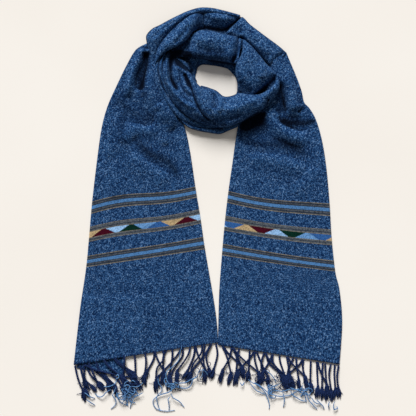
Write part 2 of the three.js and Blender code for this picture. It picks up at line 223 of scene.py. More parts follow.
class Nodes:  # short names for the nodes of one material
    def __init__(self, name):
        self.material = bpy.data.materials.new(name)
        self.material.use_nodes = True
        self.tree = self.material.node_tree
        self.shader = self.tree.nodes["Principled BSDF"]

    def add(self, kind, **values):
        node = self.tree.nodes.new(kind)
        for key, value in values.items():
            setattr(node, key, value)
        return node

    def link(self, a, b):
        self.tree.links.new(a, b)

    def math(self, operation, a, b=None):
        node = self.add("ShaderNodeMath", operation=operation)
        for socket, value in zip(node.inputs, (a, b)):
            if value is None:
                continue
            if isinstance(value, (int, float)):
                socket.default_value = value
            else:
                self.link(value, socket)
        return node.outputs[0]

    def between(self, value, low, high):
        over, under = self.math("GREATER_THAN", value, low), self.math("LESS_THAN", value, high)
        return self.math("MULTIPLY", over, under)

    def mix(self, factor, a, b, blend="MIX"):
        node = self.add("ShaderNodeMix", data_type="RGBA", blend_type=blend)
        for socket, value in ((node.inputs[0], factor), (node.inputs[6], a), (node.inputs[7], b)):
            if hasattr(value, "is_output"):
                self.link(value, socket)
            else:
                socket.default_value = value
        return node.outputs[2]

    def ramp(self, factor, stops, constant=False):
        node = self.add("ShaderNodeValToRGB")
        node.color_ramp.interpolation = "CONSTANT" if constant else "LINEAR"
        for n, (at, colour) in enumerate(stops):
            stop = node.color_ramp.elements[n] if n < 2 else node.color_ramp.elements.new(at)
            stop.position = at
            stop.color = srgb(*colour)
        self.link(factor, node.inputs[0])
        return node.outputs[0]

    def noise(self, vector, scale, detail):
        node = self.add("ShaderNodeTexNoise")
        node.inputs["Scale"].default_value = scale
        node.inputs["Detail"].default_value = detail
        self.link(vector, node.inputs[0])
        return node.outputs[0]

    def finish(self, look, relief):  # how the fibre takes the light
        weight, spread, tint = look["sheen"]
        self.shader.inputs["Roughness"].default_value = look["roughness"]
        self.shader.inputs["Specular IOR Level"].default_value = look["specular"]
        self.shader.inputs["Sheen Weight"].default_value = weight
        self.shader.inputs["Sheen Roughness"].default_value = spread
        self.shader.inputs["Sheen Tint"].default_value = srgb(*tint)
        bump = self.add("ShaderNodeBump")
        bump.inputs["Strength"].default_value = look["reliefStrength"]
        bump.inputs["Distance"].default_value = look["reliefDepth"]
        self.link(relief, bump.inputs["Height"])
        self.link(bump.outputs[0], self.shader.inputs["Normal"])


# What makes the cloth look as it does; the sizes of its weave are in metres
clothLook = {
    # the heather, from its darkest wool to its palest flecks
    "heather": [
        (0.14, (1, 12, 42)), (0.34, (13, 41, 80)), (0.5, (29, 65, 108)),
        (0.68, (66, 108, 156)), (0.9, (136, 166, 200)),
    ],
    "yarnPitch": 0.0013,                # between yarns
    "dash": 0.0019,                     # of one yarn that shows between crossings
    "brick": (0.37, 0.41),              # how far the dashes of one yarn stand from its neighbour's
    "yarnShare": 0.36,                  # of each yarn's own shade in the heather
    "fluff": (520, 0.28),               # scale and share of the finer mottling
    "dusk": ((5, 20, 55), 40, 0.2),     # broad uneven dyeing: colour, scale, share
    "roughness": 0.92, "specular": 0.05,
    "sheen": (0.1, 0.6, (90, 130, 190)),
    "napScale": 900, "weaveRelief": 0.35, "grainRelief": 1.4, "reliefStrength": 0.55, "reliefDepth": 0.0007,
    # painted shade multiplied into the colour, from the crest of a fold, a little lighter, down to the foot
    # of a roll, darkest
    "creases": [
        (0.2, (255, 255, 255)), (0.5, (243, 245, 248)), (0.62, (206, 212, 220)), (1.0, (38, 46, 60)),
    ],
}

# A woven line is where it starts, mm from the hem, and its colour
wovenLines = [
    (168.0, "tan"), (169.4, "slate"), (172.8, "grey"), (174.0, "slate"), (175.6, "blueStripe"),
    (181.2, "slate"), (183.0, "grey"), (184.2, "slate"), (187.4, "tan"), (188.8, "cloth"),
    (212.7, "tan"), (213.8, "grey"), (215.4, "slate"), (216.6, "grey"), (218.8, "tan"),
    (219.6, "slate"), (229.5, "tan"), (230.4, "grey"), (232.6, "slate"), (234.0, "grey"),
    (237.4, "tan"), (238.5, "cloth"),
    (260.3, "tan"), (261.7, "slate"), (265.0, "grey"), (266.2, "slate"), (268.0, "blueStripe"),
    (273.6, "slate"), (275.4, "grey"), (276.6, "slate"), (279.7, "tan"),
]
# Where the lines and the two wide stripes lie, mm from the hem, with the plain cloth between the
# groups as gaps, and what the yarns of the fine lines and of the wide stripes are shaded by
bandShape = {
    "ends": (168.0, 281.1), "gaps": [(188.8, 212.7), (238.5, 260.3)],
    "wideStripes": [(175.6, 181.2), (268.0, 273.6)], "rampFrom": 160.0, "rampLength": 130.0,
    "fineYarn": [(0.28, (196, 196, 196)), (0.6, (252, 252, 252))],
    "coarseYarn": [(0.25, (150, 150, 154)), (0.5, (214, 214, 214)), (0.78, (255, 255, 255))],
}
bandColours = {
    "cloth": (34, 64, 106), "tan": (146, 139, 125), "slate": (62, 71, 85), "grey": (102, 108, 114),
    "blueStripe": (84, 134, 188), "maroon": (74, 6, 25), "paleBlue": (162, 206, 250), "green": (5, 46, 32),
    "skyBlue": (112, 162, 216), "blue": (54, 102, 166), "sand": (202, 174, 130),
}
triangleBand = {"low": 219.6, "height": 9.9, "steps": 8, "halfBase": 20.0, "halfTop": 2.5}


def wovenCloth(name, band=None):
    n = Nodes(name)
    uv = n.add("ShaderNodeUVMap", uv_map="cloth").outputs[0]
    split = n.add("ShaderNodeSeparateXYZ")
    n.link(uv, split.inputs[0])
    across, along = split.outputs[0], split.outputs[1]

    def dashes(side, length, brick):  # each yarn shows as short dashes, each of its own shade
        yarnNumber = n.math("FLOOR", n.math("DIVIDE", side, clothLook["yarnPitch"]))
        offset = n.math("MULTIPLY", yarnNumber, brick)
        dashNumber = n.math("FLOOR", n.math("ADD", n.math("DIVIDE", length, clothLook["dash"]), offset))
        cell = n.add("ShaderNodeCombineXYZ")
        n.link(yarnNumber, cell.inputs[0])
        n.link(dashNumber, cell.inputs[1])
        cell.inputs[2].default_value = brick
        shade = n.add("ShaderNodeTexWhiteNoise")
        n.link(cell.outputs[0], shade.inputs[0])
        return shade.outputs[0]

    look = clothLook
    warpBrick, weftBrick = look["brick"]
    warp, weft = dashes(across, along, warpBrick), dashes(along, across, weftBrick)
    fluffScale, fluffShare = look["fluff"]
    fluff = n.math("MULTIPLY", n.noise(uv, fluffScale, 4), fluffShare)
    grain = n.math("ADD", n.math("MULTIPLY", n.math("ADD", warp, weft), look["yarnShare"]), fluff)
    dusk, duskScale, duskShare = look["dusk"]
    uneven = n.math("MULTIPLY", n.noise(uv, duskScale, 3), duskShare)
    colour = n.mix(uneven, n.ramp(grain, look["heather"]), srgb(*dusk))
    if band:
        u = n.math("MULTIPLY", across, 1 / mm)
        v = n.math("MULTIPLY", along, 1 / mm)
        plan = bandShape
        at = n.math("DIVIDE", n.math("SUBTRACT", v, plan["rampFrom"]), plan["rampLength"])
        stops = [(0.0, bandColours["cloth"])]
        for start, key in wovenLines:
            stops.append(((start - plan["rampFrom"]) / plan["rampLength"], bandColours[key]))
        lines = n.ramp(at, stops, True)
        onLines = n.between(v, *plan["ends"])
        for gap in plan["gaps"]:
            onLines = n.math("SUBTRACT", onLines, n.between(v, *gap))
        # triangles: upright ones stand on the lower line, hanging ones fill the rest
        row = triangleBand
        rise = n.math("DIVIDE", n.math("SUBTRACT", v, row["low"]), row["height"])
        stepped = n.math("DIVIDE", n.math("FLOOR", n.math("MULTIPLY", rise, row["steps"])), row["steps"])
        turn = n.math("DIVIDE", n.math("SUBTRACT", u, band["firstApex"]), band["pitch"])
        nearest = n.math("FLOOR", n.math("ADD", turn, 0.5))
        away = n.math("MULTIPLY", n.math("ABSOLUTE", n.math("SUBTRACT", turn, nearest)), band["pitch"])
        narrowed = n.math("MULTIPLY", stepped, row["halfBase"] - row["halfTop"])
        half = n.math("SUBTRACT", row["halfBase"], narrowed)
        upright = n.math("LESS_THAN", away, half)

        def paint(index, names):
            share = n.math("DIVIDE", n.math("ADD", index, 1.5), len(names))
            return n.ramp(share, [(k / len(names), bandColours[c]) for k, c in enumerate(names)], True)

        hangingColour = paint(n.math("FLOOR", turn), band["hanging"])
        triangles = n.mix(upright, hangingColour, paint(nearest, band["upright"]))
        inRow = n.between(v, row["low"], row["low"] + row["height"])
        fine = n.ramp(grain, plan["fineYarn"])
        wide = n.math("ADD", *[n.between(v, *stripe) for stripe in plan["wideStripes"]])
        ground = n.mix(1.0, lines, n.mix(wide, n.ramp(grain, plan["coarseYarn"]), fine), "MULTIPLY")
        colour = n.mix(onLines, colour, n.mix(inRow, ground, n.mix(1.0, triangles, fine, "MULTIPLY")))
    # painted shade: the attribute darkens the colour in creases, at the feet of rolls and under the layers
    # above
    paintedCreaseShade = n.add("ShaderNodeAttribute", attribute_name="paintedCreaseShade").outputs["Fac"]
    depthShade = n.ramp(n.math("MULTIPLY", n.math("ADD", paintedCreaseShade, 1.0), 0.5), look["creases"])
    n.link(n.mix(1.0, colour, depthShade, "MULTIPLY"), n.shader.inputs["Base Color"])
    # plain weave: over and under, one yarn apart, roughened by the nap
    beat = math.pi / look["yarnPitch"]
    over = n.math("MULTIPLY", *[n.math("SINE", n.math("MULTIPLY", side, beat)) for side in (across, along)])
    nap = n.math("ADD", n.noise(uv, look["napScale"], 3), n.math("MULTIPLY", grain, look["grainRelief"]))
    relief = n.math("ADD", n.math("MULTIPLY", over, look["weaveRelief"]), nap)
    n.finish(look, relief)
    return n.material


yarnLook = {
    "fibreScale": 600, "darkToLight": (0.35, 0.65), "roughness": 0.88, "specular": 0.15,
    "sheen": (0.3, 0.5, (90, 120, 175)), "reliefStrength": 0.5, "reliefDepth": 0.0005,
}


def yarn(name, dark, light):
    n = Nodes(name)
    look = yarnLook
    fibre = n.noise(n.add("ShaderNodeTexCoord").outputs["Object"], look["fibreScale"], 3)
    n.link(n.ramp(fibre, zip(look["darkToLight"], (dark, light))), n.shader.inputs["Base Color"])
    n.finish(look, fibre)
    return n.material


heatherCloth = wovenCloth("heathered blue wool")
leftBandCloth = wovenCloth("heathered blue wool, left band", {
    "firstApex": 25.0, "pitch": 49.0,
    "upright": ["maroon", "maroon", "green", "blue", "maroon", "green"],
    "hanging": ["sand", "paleBlue", "skyBlue", "sand", "paleBlue", "skyBlue"],
})
rightBandCloth = wovenCloth("heathered blue wool, right band", {
    "firstApex": 38.0, "pitch": 54.0,
    "upright": ["paleBlue", "sand", "paleBlue", "skyBlue", "sand", "maroon"],
    "hanging": ["blue", "maroon", "green", "blue", "maroon", "green"],
})
fringeNavy = yarn("dark navy twisted wool", (6, 14, 42), (24, 46, 94))
looseBlue = yarn("pale blue loose yarn", (50, 92, 142), (112, 158, 204))
print("muffler: cloth and yarn made")


# The tails

# columns: left edge x, y, right edge x, y, length of cloth from the hem, bow and wave of the weft
leftTail = {
    "rows": [
        [-235, -271, 18, -231.5, 0, 0, 0],
        [-228, -210, 15.5, -196, 48, 0, 0],
        [-222.5, -164.5, 10, -155.5, 91, 0, 0],
        [-213, -100, -5, -68.5, 168, 0.5, 0],
        [-207.5, -42, -13.5, -10.5, 226, 0, -2],
        [-202.5, 15, -22, 41, 281, -1.5, -3],
        [-194, 87.5, -31, 101.5, 348, 0, -2],
        [-186, 143.5, -40, 143.5, 398, 0, 0],
        [-175.5, 182, -52, 175, 435, 0, 0],
        [-160, 217, -64, 206.5, 471, 0, 0],
        [-143, 252, -74, 241.5, 509, 0, 0],
        [-126.5, 280, -80, 273, 541, 0, 0],
        [-108, 291.5, -83.5, 290.5, 561, 0, 0],
    ],
    "folds": [
        [13, 24, 2.4, "both", [(-98, 292), (-100, 250), (-92, 212), (-72, 186), (-56, 168)]],
        [-14, 8.5, 2, "end", [(-118, 208), (-118, 224), (-114, 240), (-109, 256), (-108, 273)]],
        [9, 9, 1.8, "end", [(-140, 196), (-137, 232), (-130, 258), (-120, 279)]],
        [6, 3, 1.8, "none", [(-126, 282), (-115, 280), (-102, 278)]],
        [-8, 3.5, 1.6, "end", [(-119, 285), (-105, 284)]],
        [-9, 10, 2, "none", [(-168, 194), (-150, 184), (-138, 174), (-124, 164), (-110, 157), (-94, 152)]],
        [5.5, 13, 2, "none", [(-142, 116), (-138, 134), (-124, 144), (-106, 142), (-88, 132)]],
        [4, 14, 2, "none", [(-176, 168), (-180, 130), (-176, 90)]],
        [-8, 10, 2, "none", [
            (-132, 128), (-114, 110), (-99, 98), (-84, 91), (-68, 83), (-56, 66), (-49, 52)]],
        [3, 14, 2, "none", [(-140, 98), (-118, 82), (-92, 66), (-70, 44)]],
        [4, 10, 2, "none", [(-92, 186), (-74, 164), (-62, 140)]],
        [4, 8, 2, "none", [(-88, 172), (-80, 142), (-74, 112)]],
        [3, 16, 2, "none", [(-186, 96), (-168, 60), (-156, 20)]],
    ],
    # painted shadow along these lines, under the loop and down the folds
    "shadowed": [
        [0.8, 8, 2, "end", [(-108, 192), (-114, 212), (-117, 232), (-112, 250), (-108, 274)]],
        [0.3, 5, 2, "both", [(-94, 236), (-92, 214), (-78, 190), (-58, 166), (-40, 148)]],
        [0.55, 9, 2, "none", [(-170, 198), (-152, 188), (-139, 176), (-125, 167), (-110, 161), (-92, 156)]],
        [0.4, 7, 2, "none", [(-145, 174), (-149, 152), (-149, 130), (-144, 106)]],
        [0.7, 8, 2, "none", [
            (-132, 128), (-114, 110), (-99, 98), (-84, 91), (-68, 83), (-57, 68), (-50, 50)]],
    ],
    "wall": 1.4, "along": 250, "across": 110,
}
rightTail = {
    "rows": [
        [17.5, -236, 230.5, -270, 0, 0, 0],
        [18.5, -189, 235, -196, 50, 0, 0],
        [20, -140, 230.5, -140, 104, 0, 0],
        [24.5, -79, 223, -107.5, 168, 1.5, 0],
        [29.5, -22.5, 216.5, -47, 226, 3, 0],
        [36, 33.5, 213, 11.5, 281, 5, 1],
        [43, 82.5, 207.5, 73.5, 336, 5, 0],
        [48.5, 122.5, 200, 121, 380, 4, 0],
        [54.5, 154, 189.5, 157.5, 413, 2, 0],
        [67, 177, 178, 178, 436, 0, 0],
        [77.5, 196, 168.5, 189, 452, 0, 0],
        [86, 213.5, 164, 208.5, 470, 0, 0],
        [93, 231, 156, 231, 490, 0, 0],
        [98.5, 243.5, 146.5, 254, 508, 0, 0],
        [102, 255.5, 137, 276.5, 528, 0, 0],
    ],
    "folds": [
        [9, 22, 2.4, "both", [(118, 268), (128, 236), (140, 206), (150, 180)]],
        [9, 14, 2, "none", [(108, 184), (111, 164), (121, 149), (136, 138), (153, 128), (176, 118)]],
        [-12, 8, 2, "end", [(124, 166), (136, 156), (152, 151), (172, 150), (194, 156)]],
        [5, 13, 2, "start", [(146, 240), (149, 216), (150, 194), (149, 172)]],
        [-8, 9, 1.8, "none", [(124, 226), (129, 204), (131, 184), (127, 166)]],
        [-8, 9, 2, "none", [(60, 118), (92, 113), (124, 112), (150, 104), (182, 92)]],
        [4, 13, 2, "none", [(70, 92), (104, 88), (140, 80), (172, 70)]],
        [-6, 3.6, 1.3, "end", [(157, 170), (165, 176), (176, 180)]],
        [3, 16, 2, "none", [(190, 76), (176, 50), (150, 30)]],
    ],
    # painted shadow along these lines, under the loop and down the folds
    "shadowed": [
        [1.3, 9, 2, "end", [(52, 144), (70, 152), (86, 160), (98, 167)]],
        [0.65, 13, 2, "none", [(48, 128), (78, 138), (108, 158)]],
        [0.9, 7, 2, "end", [(128, 163), (138, 156), (152, 153.5), (172, 153), (192, 158)]],
        [0.6, 8, 2, "none", [(54, 122), (86, 115), (112, 115), (136, 112), (158, 104), (182, 94)]],
        [0.6, 9, 2, "none", [(127, 228), (129, 206), (130, 186), (127, 168)]],
    ],
    "wall": 1.4, "along": 250, "across": 96,
}
tailEdge = {"radius": 1.6, "lip": 12.0, "lipColumns": 4, "bendColumns": 6, "top": 3.5}
# small waves, the share of a trough that the flat cloth keeps, and where the folds begin from an edge
tailSurface = {"waves": [(60, 1.2, 3.0), (22, 0.45, 8.0)], "trough": 0.25, "foldsFrom": 18}


def tailColumns(flat):  # across: a lip under the left edge, the bend, the flat cloth, the same at the right
    radius, lip = tailEdge["radius"], tailEdge["lip"]
    lipCount, bendCount = tailEdge["lipColumns"], tailEdge["bendColumns"]
    bend = math.pi * radius
    edge = [radius - bend * k / bendCount for k in range(1, bendCount + 1)]
    edge += [radius - bend - lip * k / lipCount for k in range(1, lipCount + 1)]
    columns = [("left", a) for a in reversed(edge)]
    columns += [("flat", k / flat) for k in range(flat + 1)]
    return columns + [("right", a) for a in edge]


# Distance from the edge and drop below the top, for cloth that lies a mm in from the edge
def bendPoint(a):
    r = tailEdge["radius"]
    bend = math.pi * r
    if a >= r:
        return a, 0.0
    if a > r - bend:
        turn = (r - a) / r
        return r - r * math.sin(turn), r * (1 - math.cos(turn))
    return 2 * r - bend - a, 2 * r


def layTail(name, node, tail, material, topAt):
    columns = tailColumns(tail["across"])

    def spot(s, q):
        kind, a = columns[round(q * (len(columns) - 1))]
        leftX, leftY, rightX, rightY = rowAt(tail["rows"], s)[:4]
        width = math.hypot(rightX - leftX, rightY - leftY)
        r = tailEdge["radius"]
        drop = 0.0
        if kind == "flat":
            inward = r + (width - 2 * r) * a
        else:
            near, drop = bendPoint(a)
            inward = near if kind == "left" else width - near
        share = inward / width
        return leftX + (rightX - leftX) * share, leftY + (rightY - leftY) * share, share, drop, width

    def place(s, q):
        x, y, share, drop, width = spot(s, q)
        lift = foldLift(tail["folds"], x, y) + crinkle(x, y, tailSurface["waves"])
        lift = max(lift, tailSurface["trough"] * math.tanh(lift))
        lift *= smooth(min(share, 1 - share) * width, 0, tailSurface["foldsFrom"])
        return drawnIn(x, y, topAt(x, y) + lift - drop)

    def clothUv(s, q):
        _, _, share, _, width = spot(s, q)
        row = rowAt(tail["rows"], s)
        sway = row[5] * math.sin(math.pi * share) + row[6] * math.sin(2 * math.pi * share)
        return share * width, row[4] + sway

    def paintedContactShade(s, q):  # painted shadow: darker colour where the loop stands over the tail and along its folds
        x, y, _, drop, _ = spot(s, q)
        return foldLift(tail["shadowed"], x, y) if drop == 0 else 0.0

    laid = laySheet(name, place, tail["along"], len(columns) - 1, material, tail["wall"], clothUv, paintedContactShade)
    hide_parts(node)
    return laid


# The corner that is turned under: it lifts the tail above it, easing off past its right and top edges
flap = {
    "rows": [[-229, -276, -145.5, -291], [-225.5, -232, -144.5, -240], [-220, -184, -142, -182]],
    "right": -124, "easeRight": 18, "top": -163, "easeTop": 22, "rise": 2.0,
    "height": 1.9, "waves": [(14, 0.35, 5.0)], "wall": 1.5, "along": 50, "across": 44,
}


def overFlap(x):
    return flap["rise"] * smooth(x, flap["right"] + flap["easeRight"], flap["right"])


def leftTop(x, y):
    return tailEdge["top"] + overFlap(x) * smooth(y, flap["top"] + flap["easeTop"], flap["top"])


leftTailPiece, leftGirth, leftLength = layTail(
    "left_tail_cloth", "left_tail", leftTail, leftBandCloth, leftTop)
rightTailPiece, rightGirth, rightLength = layTail(
    "right_tail_cloth", "right_tail", rightTail, rightBandCloth, lambda x, y: tailEdge["top"])


def flapPlace(s, q):
    leftX, leftY, rightX, rightY = rowAt(flap["rows"], s)
    x, y = leftX + (rightX - leftX) * q, leftY + (rightY - leftY) * q
    return x, y, flap["height"] + crinkle(x, y, flap["waves"])


flapPiece, flapWidth, flapLength = laySheet(
    "turned_selvedge_cloth", flapPlace, flap["along"], flap["across"], heatherCloth, flap["wall"])
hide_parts("left_tail_turned_selvedge")
print("muffler: tails laid")


# The loop

# What a turn has unless its own values say otherwise: its tuck in degrees, its heights in mm, the
# shares of its length that close down, and how much shade is painted into its colour under the roll, at its
# foot and at its ends
plainTurn = {
    "tuck": 62, "floor": 2.8, "middle": 4.6, "fullness": 0.62, "caps": (0.0, 0.0), "folds": [],
    "shadowed": [], "waves": [(34, 1.6, 1.0), (13, 0.7, 4.0)], "leastRise": 1.6, "underBow": 0.8,
    "wall": 1.2, "under": 0.75, "foot": 1.1, "footShade": 0.4, "ends": 0.55,
}


# A turn of the loop is a soft roll: columns are inner edge x, y, outer edge x, y, crown height, peak
def layTurn(name, node, own):
    turn = {**plainTurn, **own}
    tuck = math.radians(turn["tuck"])
    floor, middle = turn["floor"], turn["middle"]

    def angleAt(q):
        return -tuck + q * (math.pi + 2 * tuck)

    def cap(s):  # the ends close down like the end of a bolster
        near = 1.0
        for length, at in zip(turn["caps"], (s, 1 - s)):
            if at < length:
                near *= math.sqrt(max(1 - (1 - at / length) ** 2, 0))
        return near

    def chart(s, q):
        innerX, innerY, outerX, outerY, crown, peak = rowAt(turn["rows"], s)
        crown = middle + (crown - middle) * cap(s)
        angle = angleAt(q)
        share = 0.5 - 0.5 * math.cos(angle)
        x = innerX + (outerX - innerX) * share
        y = innerY + (outerY - innerY) * share
        if 0 < angle < math.pi:
            shifted = share ** (math.log(0.5) / math.log(peak))
            arch = max(math.sin(math.acos(min(max(1 - 2 * shifted, -1), 1))), 0) ** turn["fullness"]
            z = middle + (crown - middle) * arch
            lift = foldLift(turn["folds"], x, y) + crinkle(x, y, turn["waves"])
            z = max(z + lift * arch * cap(s), floor + turn["leastRise"])
        else:
            z = middle - (middle - floor) * abs(math.sin(angle)) ** turn["underBow"]
        return x, y, z

    def place(s, q):
        return drawnIn(*chart(s, q))

    def paintedContactShade(s, q):  # painted shade at the foot of a roll where it meets the next layer, under its tuck, at its ends and along its shadowed lines
        angle = angleAt(q)
        if not 0 < angle < math.pi:
            return turn["under"]
        x, y, _ = chart(s, q)
        foot = turn["foot"] * (1 - math.sin(angle) ** turn["footShade"])
        return foot + turn["ends"] * (1 - cap(s)) + foldLift(turn["shadowed"], x, y)

    piece, girth, length = laySheet(
        name, place, turn["along"], turn["across"], heatherCloth, turn["wall"], paintedContactShade=paintedContactShade)
    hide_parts(node)


lowerTurn = {
    "rows": [
        [-19, 226, -42, 206], [-22, 233, -64, 226], [-19.5, 243, -88, 250], [-17, 250, -88, 282],
        [-10, 254, -72, 308], [-3, 254, -40, 326], [5.5, 253, -10, 330], [14, 252, 14, 322],
        [24, 250, 22, 304], [34, 247, 56, 288], [41.5, 240.5, 72, 264], [49.5, 230, 86, 238],
        [51.5, 216, 82, 212], [48.5, 202, 68, 186], [34, 197, 46, 172], [21, 203, 22, 162],
        [5, 213, -2, 166], [-12, 218, -24, 184],
    ],
    "folds": [
        [9, 4, 1.6, "none", [(-60, 268), (-42, 256), (-30, 240)]],
        [9, 3.5, 1.6, "none", [(-30, 266), (-22, 256), (-20, 244)]],
        [6, 4, 1.8, "none", [(-14, 262), (0, 258), (14, 257)]],
    ],
    # painted shadow along these lines, under the turns above
    "shadowed": [
        [1.3, 11, 2, "both", [(-80, 272), (-60, 264), (-44, 256), (-34, 244)]],
        [1.1, 6, 2, "start", [(48, 256), (30, 259), (10, 262), (-6, 266)]],
    ],
    # a swell beyond the hole's upper part, and a rise at the left, under the outer turns
    "height": 2.2, "swell": 3.2, "swellAcross": 2.2, "swellFrom": (232, 252),
    "leftRise": 2.2, "leftFrom": (-68, -78), "foldsFrom": (0.02, 0.3),
    "waves": [(16, 0.5, 2.0)], "wall": 1.4, "along": 150, "across": 26,
}


def lowerPlace(s, q):
    turn = lowerTurn
    holeX, holeY, outerX, outerY = rowAt(turn["rows"], s)
    x, y = holeX + (outerX - holeX) * q, holeY + (outerY - holeY) * q
    swell = turn["swell"] * math.sin(math.pi * min(q * turn["swellAcross"], 1))
    swell *= smooth(y, *turn["swellFrom"])
    lift = turn["leftRise"] * smooth(x, *turn["leftFrom"])
    lift += foldLift(turn["folds"], x, y) * smooth(q, *turn["foldsFrom"])
    return x, y, turn["height"] + swell + lift + crinkle(x, y, turn["waves"])


# painted shade of the lower turn, under the turns that lie over it
def lowerPaintedShade(s, q):
    return foldLift(lowerTurn["shadowed"], *lowerPlace(s, q)[:2])


lowerPiece, lowerWidth, lowerLength = laySheet(
    "lower_turn_cloth", lowerPlace, lowerTurn["along"], lowerTurn["across"], heatherCloth,
    lowerTurn["wall"], paintedContactShade=lowerPaintedShade)
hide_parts("lower_turn")

layTurn("right_shoulder_cloth", "right_shoulder_turn", {
    "rows": [
        [107, 241, 138, 275, 12, 0.6],
        [88, 256, 124.5, 287, 15, 0.6],
        [72, 269, 109, 298.5, 17, 0.62],
        [57, 280, 91.5, 311.5, 18, 0.64],
        [42, 290, 74, 325, 18, 0.64],
        [32, 297, 65, 334.5, 18, 0.6],
        [25, 304, 60, 338.5, 17, 0.56],
    ],
    "floor": 0.8, "middle": 2.8, "along": 120, "across": 70, "caps": (0.07, 0.035),
    "folds": [
        [3, 4, 2, "none", [(28, 313), (44, 309), (57, 302)]],
        [-5, 4.5, 1.8, "none", [(36, 310), (52, 303), (64, 296)]],
        [-11, 4, 1.4, "both", [(58, 300), (70, 290), (84, 275), (96, 262), (108, 249)]],
        [-6, 4, 1.6, "both", [(110, 250), (118, 260), (127, 270), (134, 279)]],
        [4, 8, 2, "none", [(56, 312), (82, 294), (110, 272)]],
        [-3, 6, 1.6, "none", [(44, 320), (66, 306), (92, 288)]],
    ],
    "on": ["floor"],
})

layTurn("top_cloth", "top_turn", {
    "rows": [
        [-30, 306, -24, 346, 5, 0.8],
        [-18, 308, -12, 349, 8, 0.8],
        [-9, 309, -2, 349.5, 12.5, 0.8],
        [0, 309, 10, 348.5, 14, 0.8],
        [10, 307, 24, 346, 14, 0.8],
        [19, 305, 40, 343.5, 12, 0.8],
        [25, 303, 52, 340, 8, 0.8],
        [30, 301, 62, 336, 4, 0.8],
    ],
    "floor": 0.8, "middle": 3.0, "along": 80, "across": 60,
    "folds": [
        [-8, 6, 1.8, "both", [(-13, 342), (-15, 328), (-12, 314)]],
        [4, 7, 2, "none", [(4, 336), (20, 334), (36, 332)]],
        [-7, 5, 1.6, "both", [(-6, 319), (12, 315.5), (28, 314), (44, 322), (56, 333)]],
        [2, 5, 2, "none", [(-6, 342), (20, 340), (44, 334)]],
    ],
    # painted shade along these lines
    "shadowed": [
        [1.0, 7, 2, "both", [(-13, 346), (-16, 332), (-11, 316)]],
        [0.5, 5, 2, "both", [(-8, 320), (14, 317), (30, 317), (44, 324), (56, 335)]],
    ],
    "on": ["floor"],
})

layTurn("folded_edge_cloth", "folded_edge_turn", {
    "rows": [
        [-93, 246, -95.5, 247, 10, 0.5],
        [-92.5, 254, -97.8, 257, 13, 0.5],
        [-90.5, 266, -101.5, 271.5, 17, 0.5],
        [-87, 279, -105.5, 287, 21, 0.5],
        [-80, 293, -108, 304.5, 24, 0.5],
        [-70, 306, -98, 317, 25, 0.5],
        [-57.5, 318.5, -83.5, 324.5, 25, 0.52],
        [-44, 330, -68, 333, 24, 0.54],
        [-30, 340, -50.5, 341.8, 22, 0.56],
        [-16, 344, -33, 349.4, 20, 0.58],
        [-2, 345, -13.5, 354.6, 18, 0.56],
        [10.6, 343.5, 7, 354, 16, 0.52],
        [26.5, 341.2, 24, 350.5, 14, 0.5],
        [44, 339.5, 41, 346, 12, 0.5],
        [57, 337.2, 56.5, 341.6, 10, 0.5],
    ],
    "along": 190, "across": 36, "tuck": 55, "caps": (0.0, 0.03), "footShade": 1.3,
    "folds": [
        [2, 6, 2, "none", [(-100, 290), (-84, 312), (-56, 330), (-30, 345)]],
        [-3, 3, 1.4, "none", [(-98, 300), (-80, 316), (-52, 334)]],
    ],
    "on": ["left_tail"],
})

layTurn("left_shoulder_cloth", "left_shoulder_turn", {
    "rows": [
        [-92.5, 248, -94, 250, 12, 0.42],
        [-87, 262, -93.5, 267, 20, 0.38],
        [-77, 274.5, -89, 283, 26, 0.32],
        [-62.5, 282.5, -80.5, 297, 30, 0.28],
        [-47.5, 290, -68, 312, 33, 0.28],
        [-35.5, 299, -54, 326.5, 34, 0.32],
        [-29, 308, -38.5, 338, 32, 0.4],
        [-24, 313, -25, 345, 27, 0.5],
        [-16, 315, -13, 346.5, 19, 0.55],
        [-8, 316, -4, 345, 8, 0.55],
    ],
    "along": 150, "across": 60, "footShade": 0.35,
    "folds": [
        [3, 8, 2, "none", [(-80, 284), (-60, 302), (-38, 322), (-24, 338)]],
        [-3, 4, 1.5, "none", [(-60, 290), (-44, 306), (-32, 326)]],
    ],
    # painted shade along these lines
    "shadowed": [
        [0.9, 6, 2, "both", [(-14, 347), (-18, 332), (-15, 317)]],
    ],
    "on": ["lower_turn", "left_tail"],
})

layTurn("inner_top_cloth", "inner_top_turn", {
    "rows": [
        [-70, 262, -64, 282, 9, 0.4],
        [-54, 266, -48, 294, 13, 0.36],
        [-38, 268, -32, 306, 23, 0.42],
        [-21, 266.5, -15, 315, 31, 0.44],
        [-2, 263.5, 4, 315, 33, 0.44],
        [18, 261, 24, 310, 33, 0.44],
        [36, 258, 43, 305.5, 31, 0.42],
        [48, 256, 56, 302, 26, 0.38],
        [53, 256, 60, 299, 20, 0.42],
    ],
    "along": 140, "across": 80, "tuck": 70, "caps": (0.0, 0.04),
    "folds": [
        [-2, 5.5, 1.9, "start", [(-34, 304), (-34, 292), (-37, 280)]],
        [4.5, 8, 2, "none", [(-26, 298), (4, 302), (38, 297)]],
        [-3, 6, 2, "none", [(-22, 282), (6, 280), (34, 276)]],
        [-9, 5, 1.8, "both", [(53, 300), (53, 288), (50, 272), (44, 260)]],
        [3, 4, 1.8, "none", [(-6, 312), (16, 308), (40, 303)]],
    ],
    # painted shade along these lines
    "shadowed": [
        [1.2, 9, 2, "both", [(-72, 268), (-58, 274), (-46, 275), (-36, 271)]],
        [0.3, 6, 2, "both", [(-38, 300), (-37, 288), (-34, 276)]],
        [1.0, 9, 2, "both", [(-34, 272), (-6, 271), (18, 269), (46, 266)]],
    ],
    "on": ["lower_turn"],
})

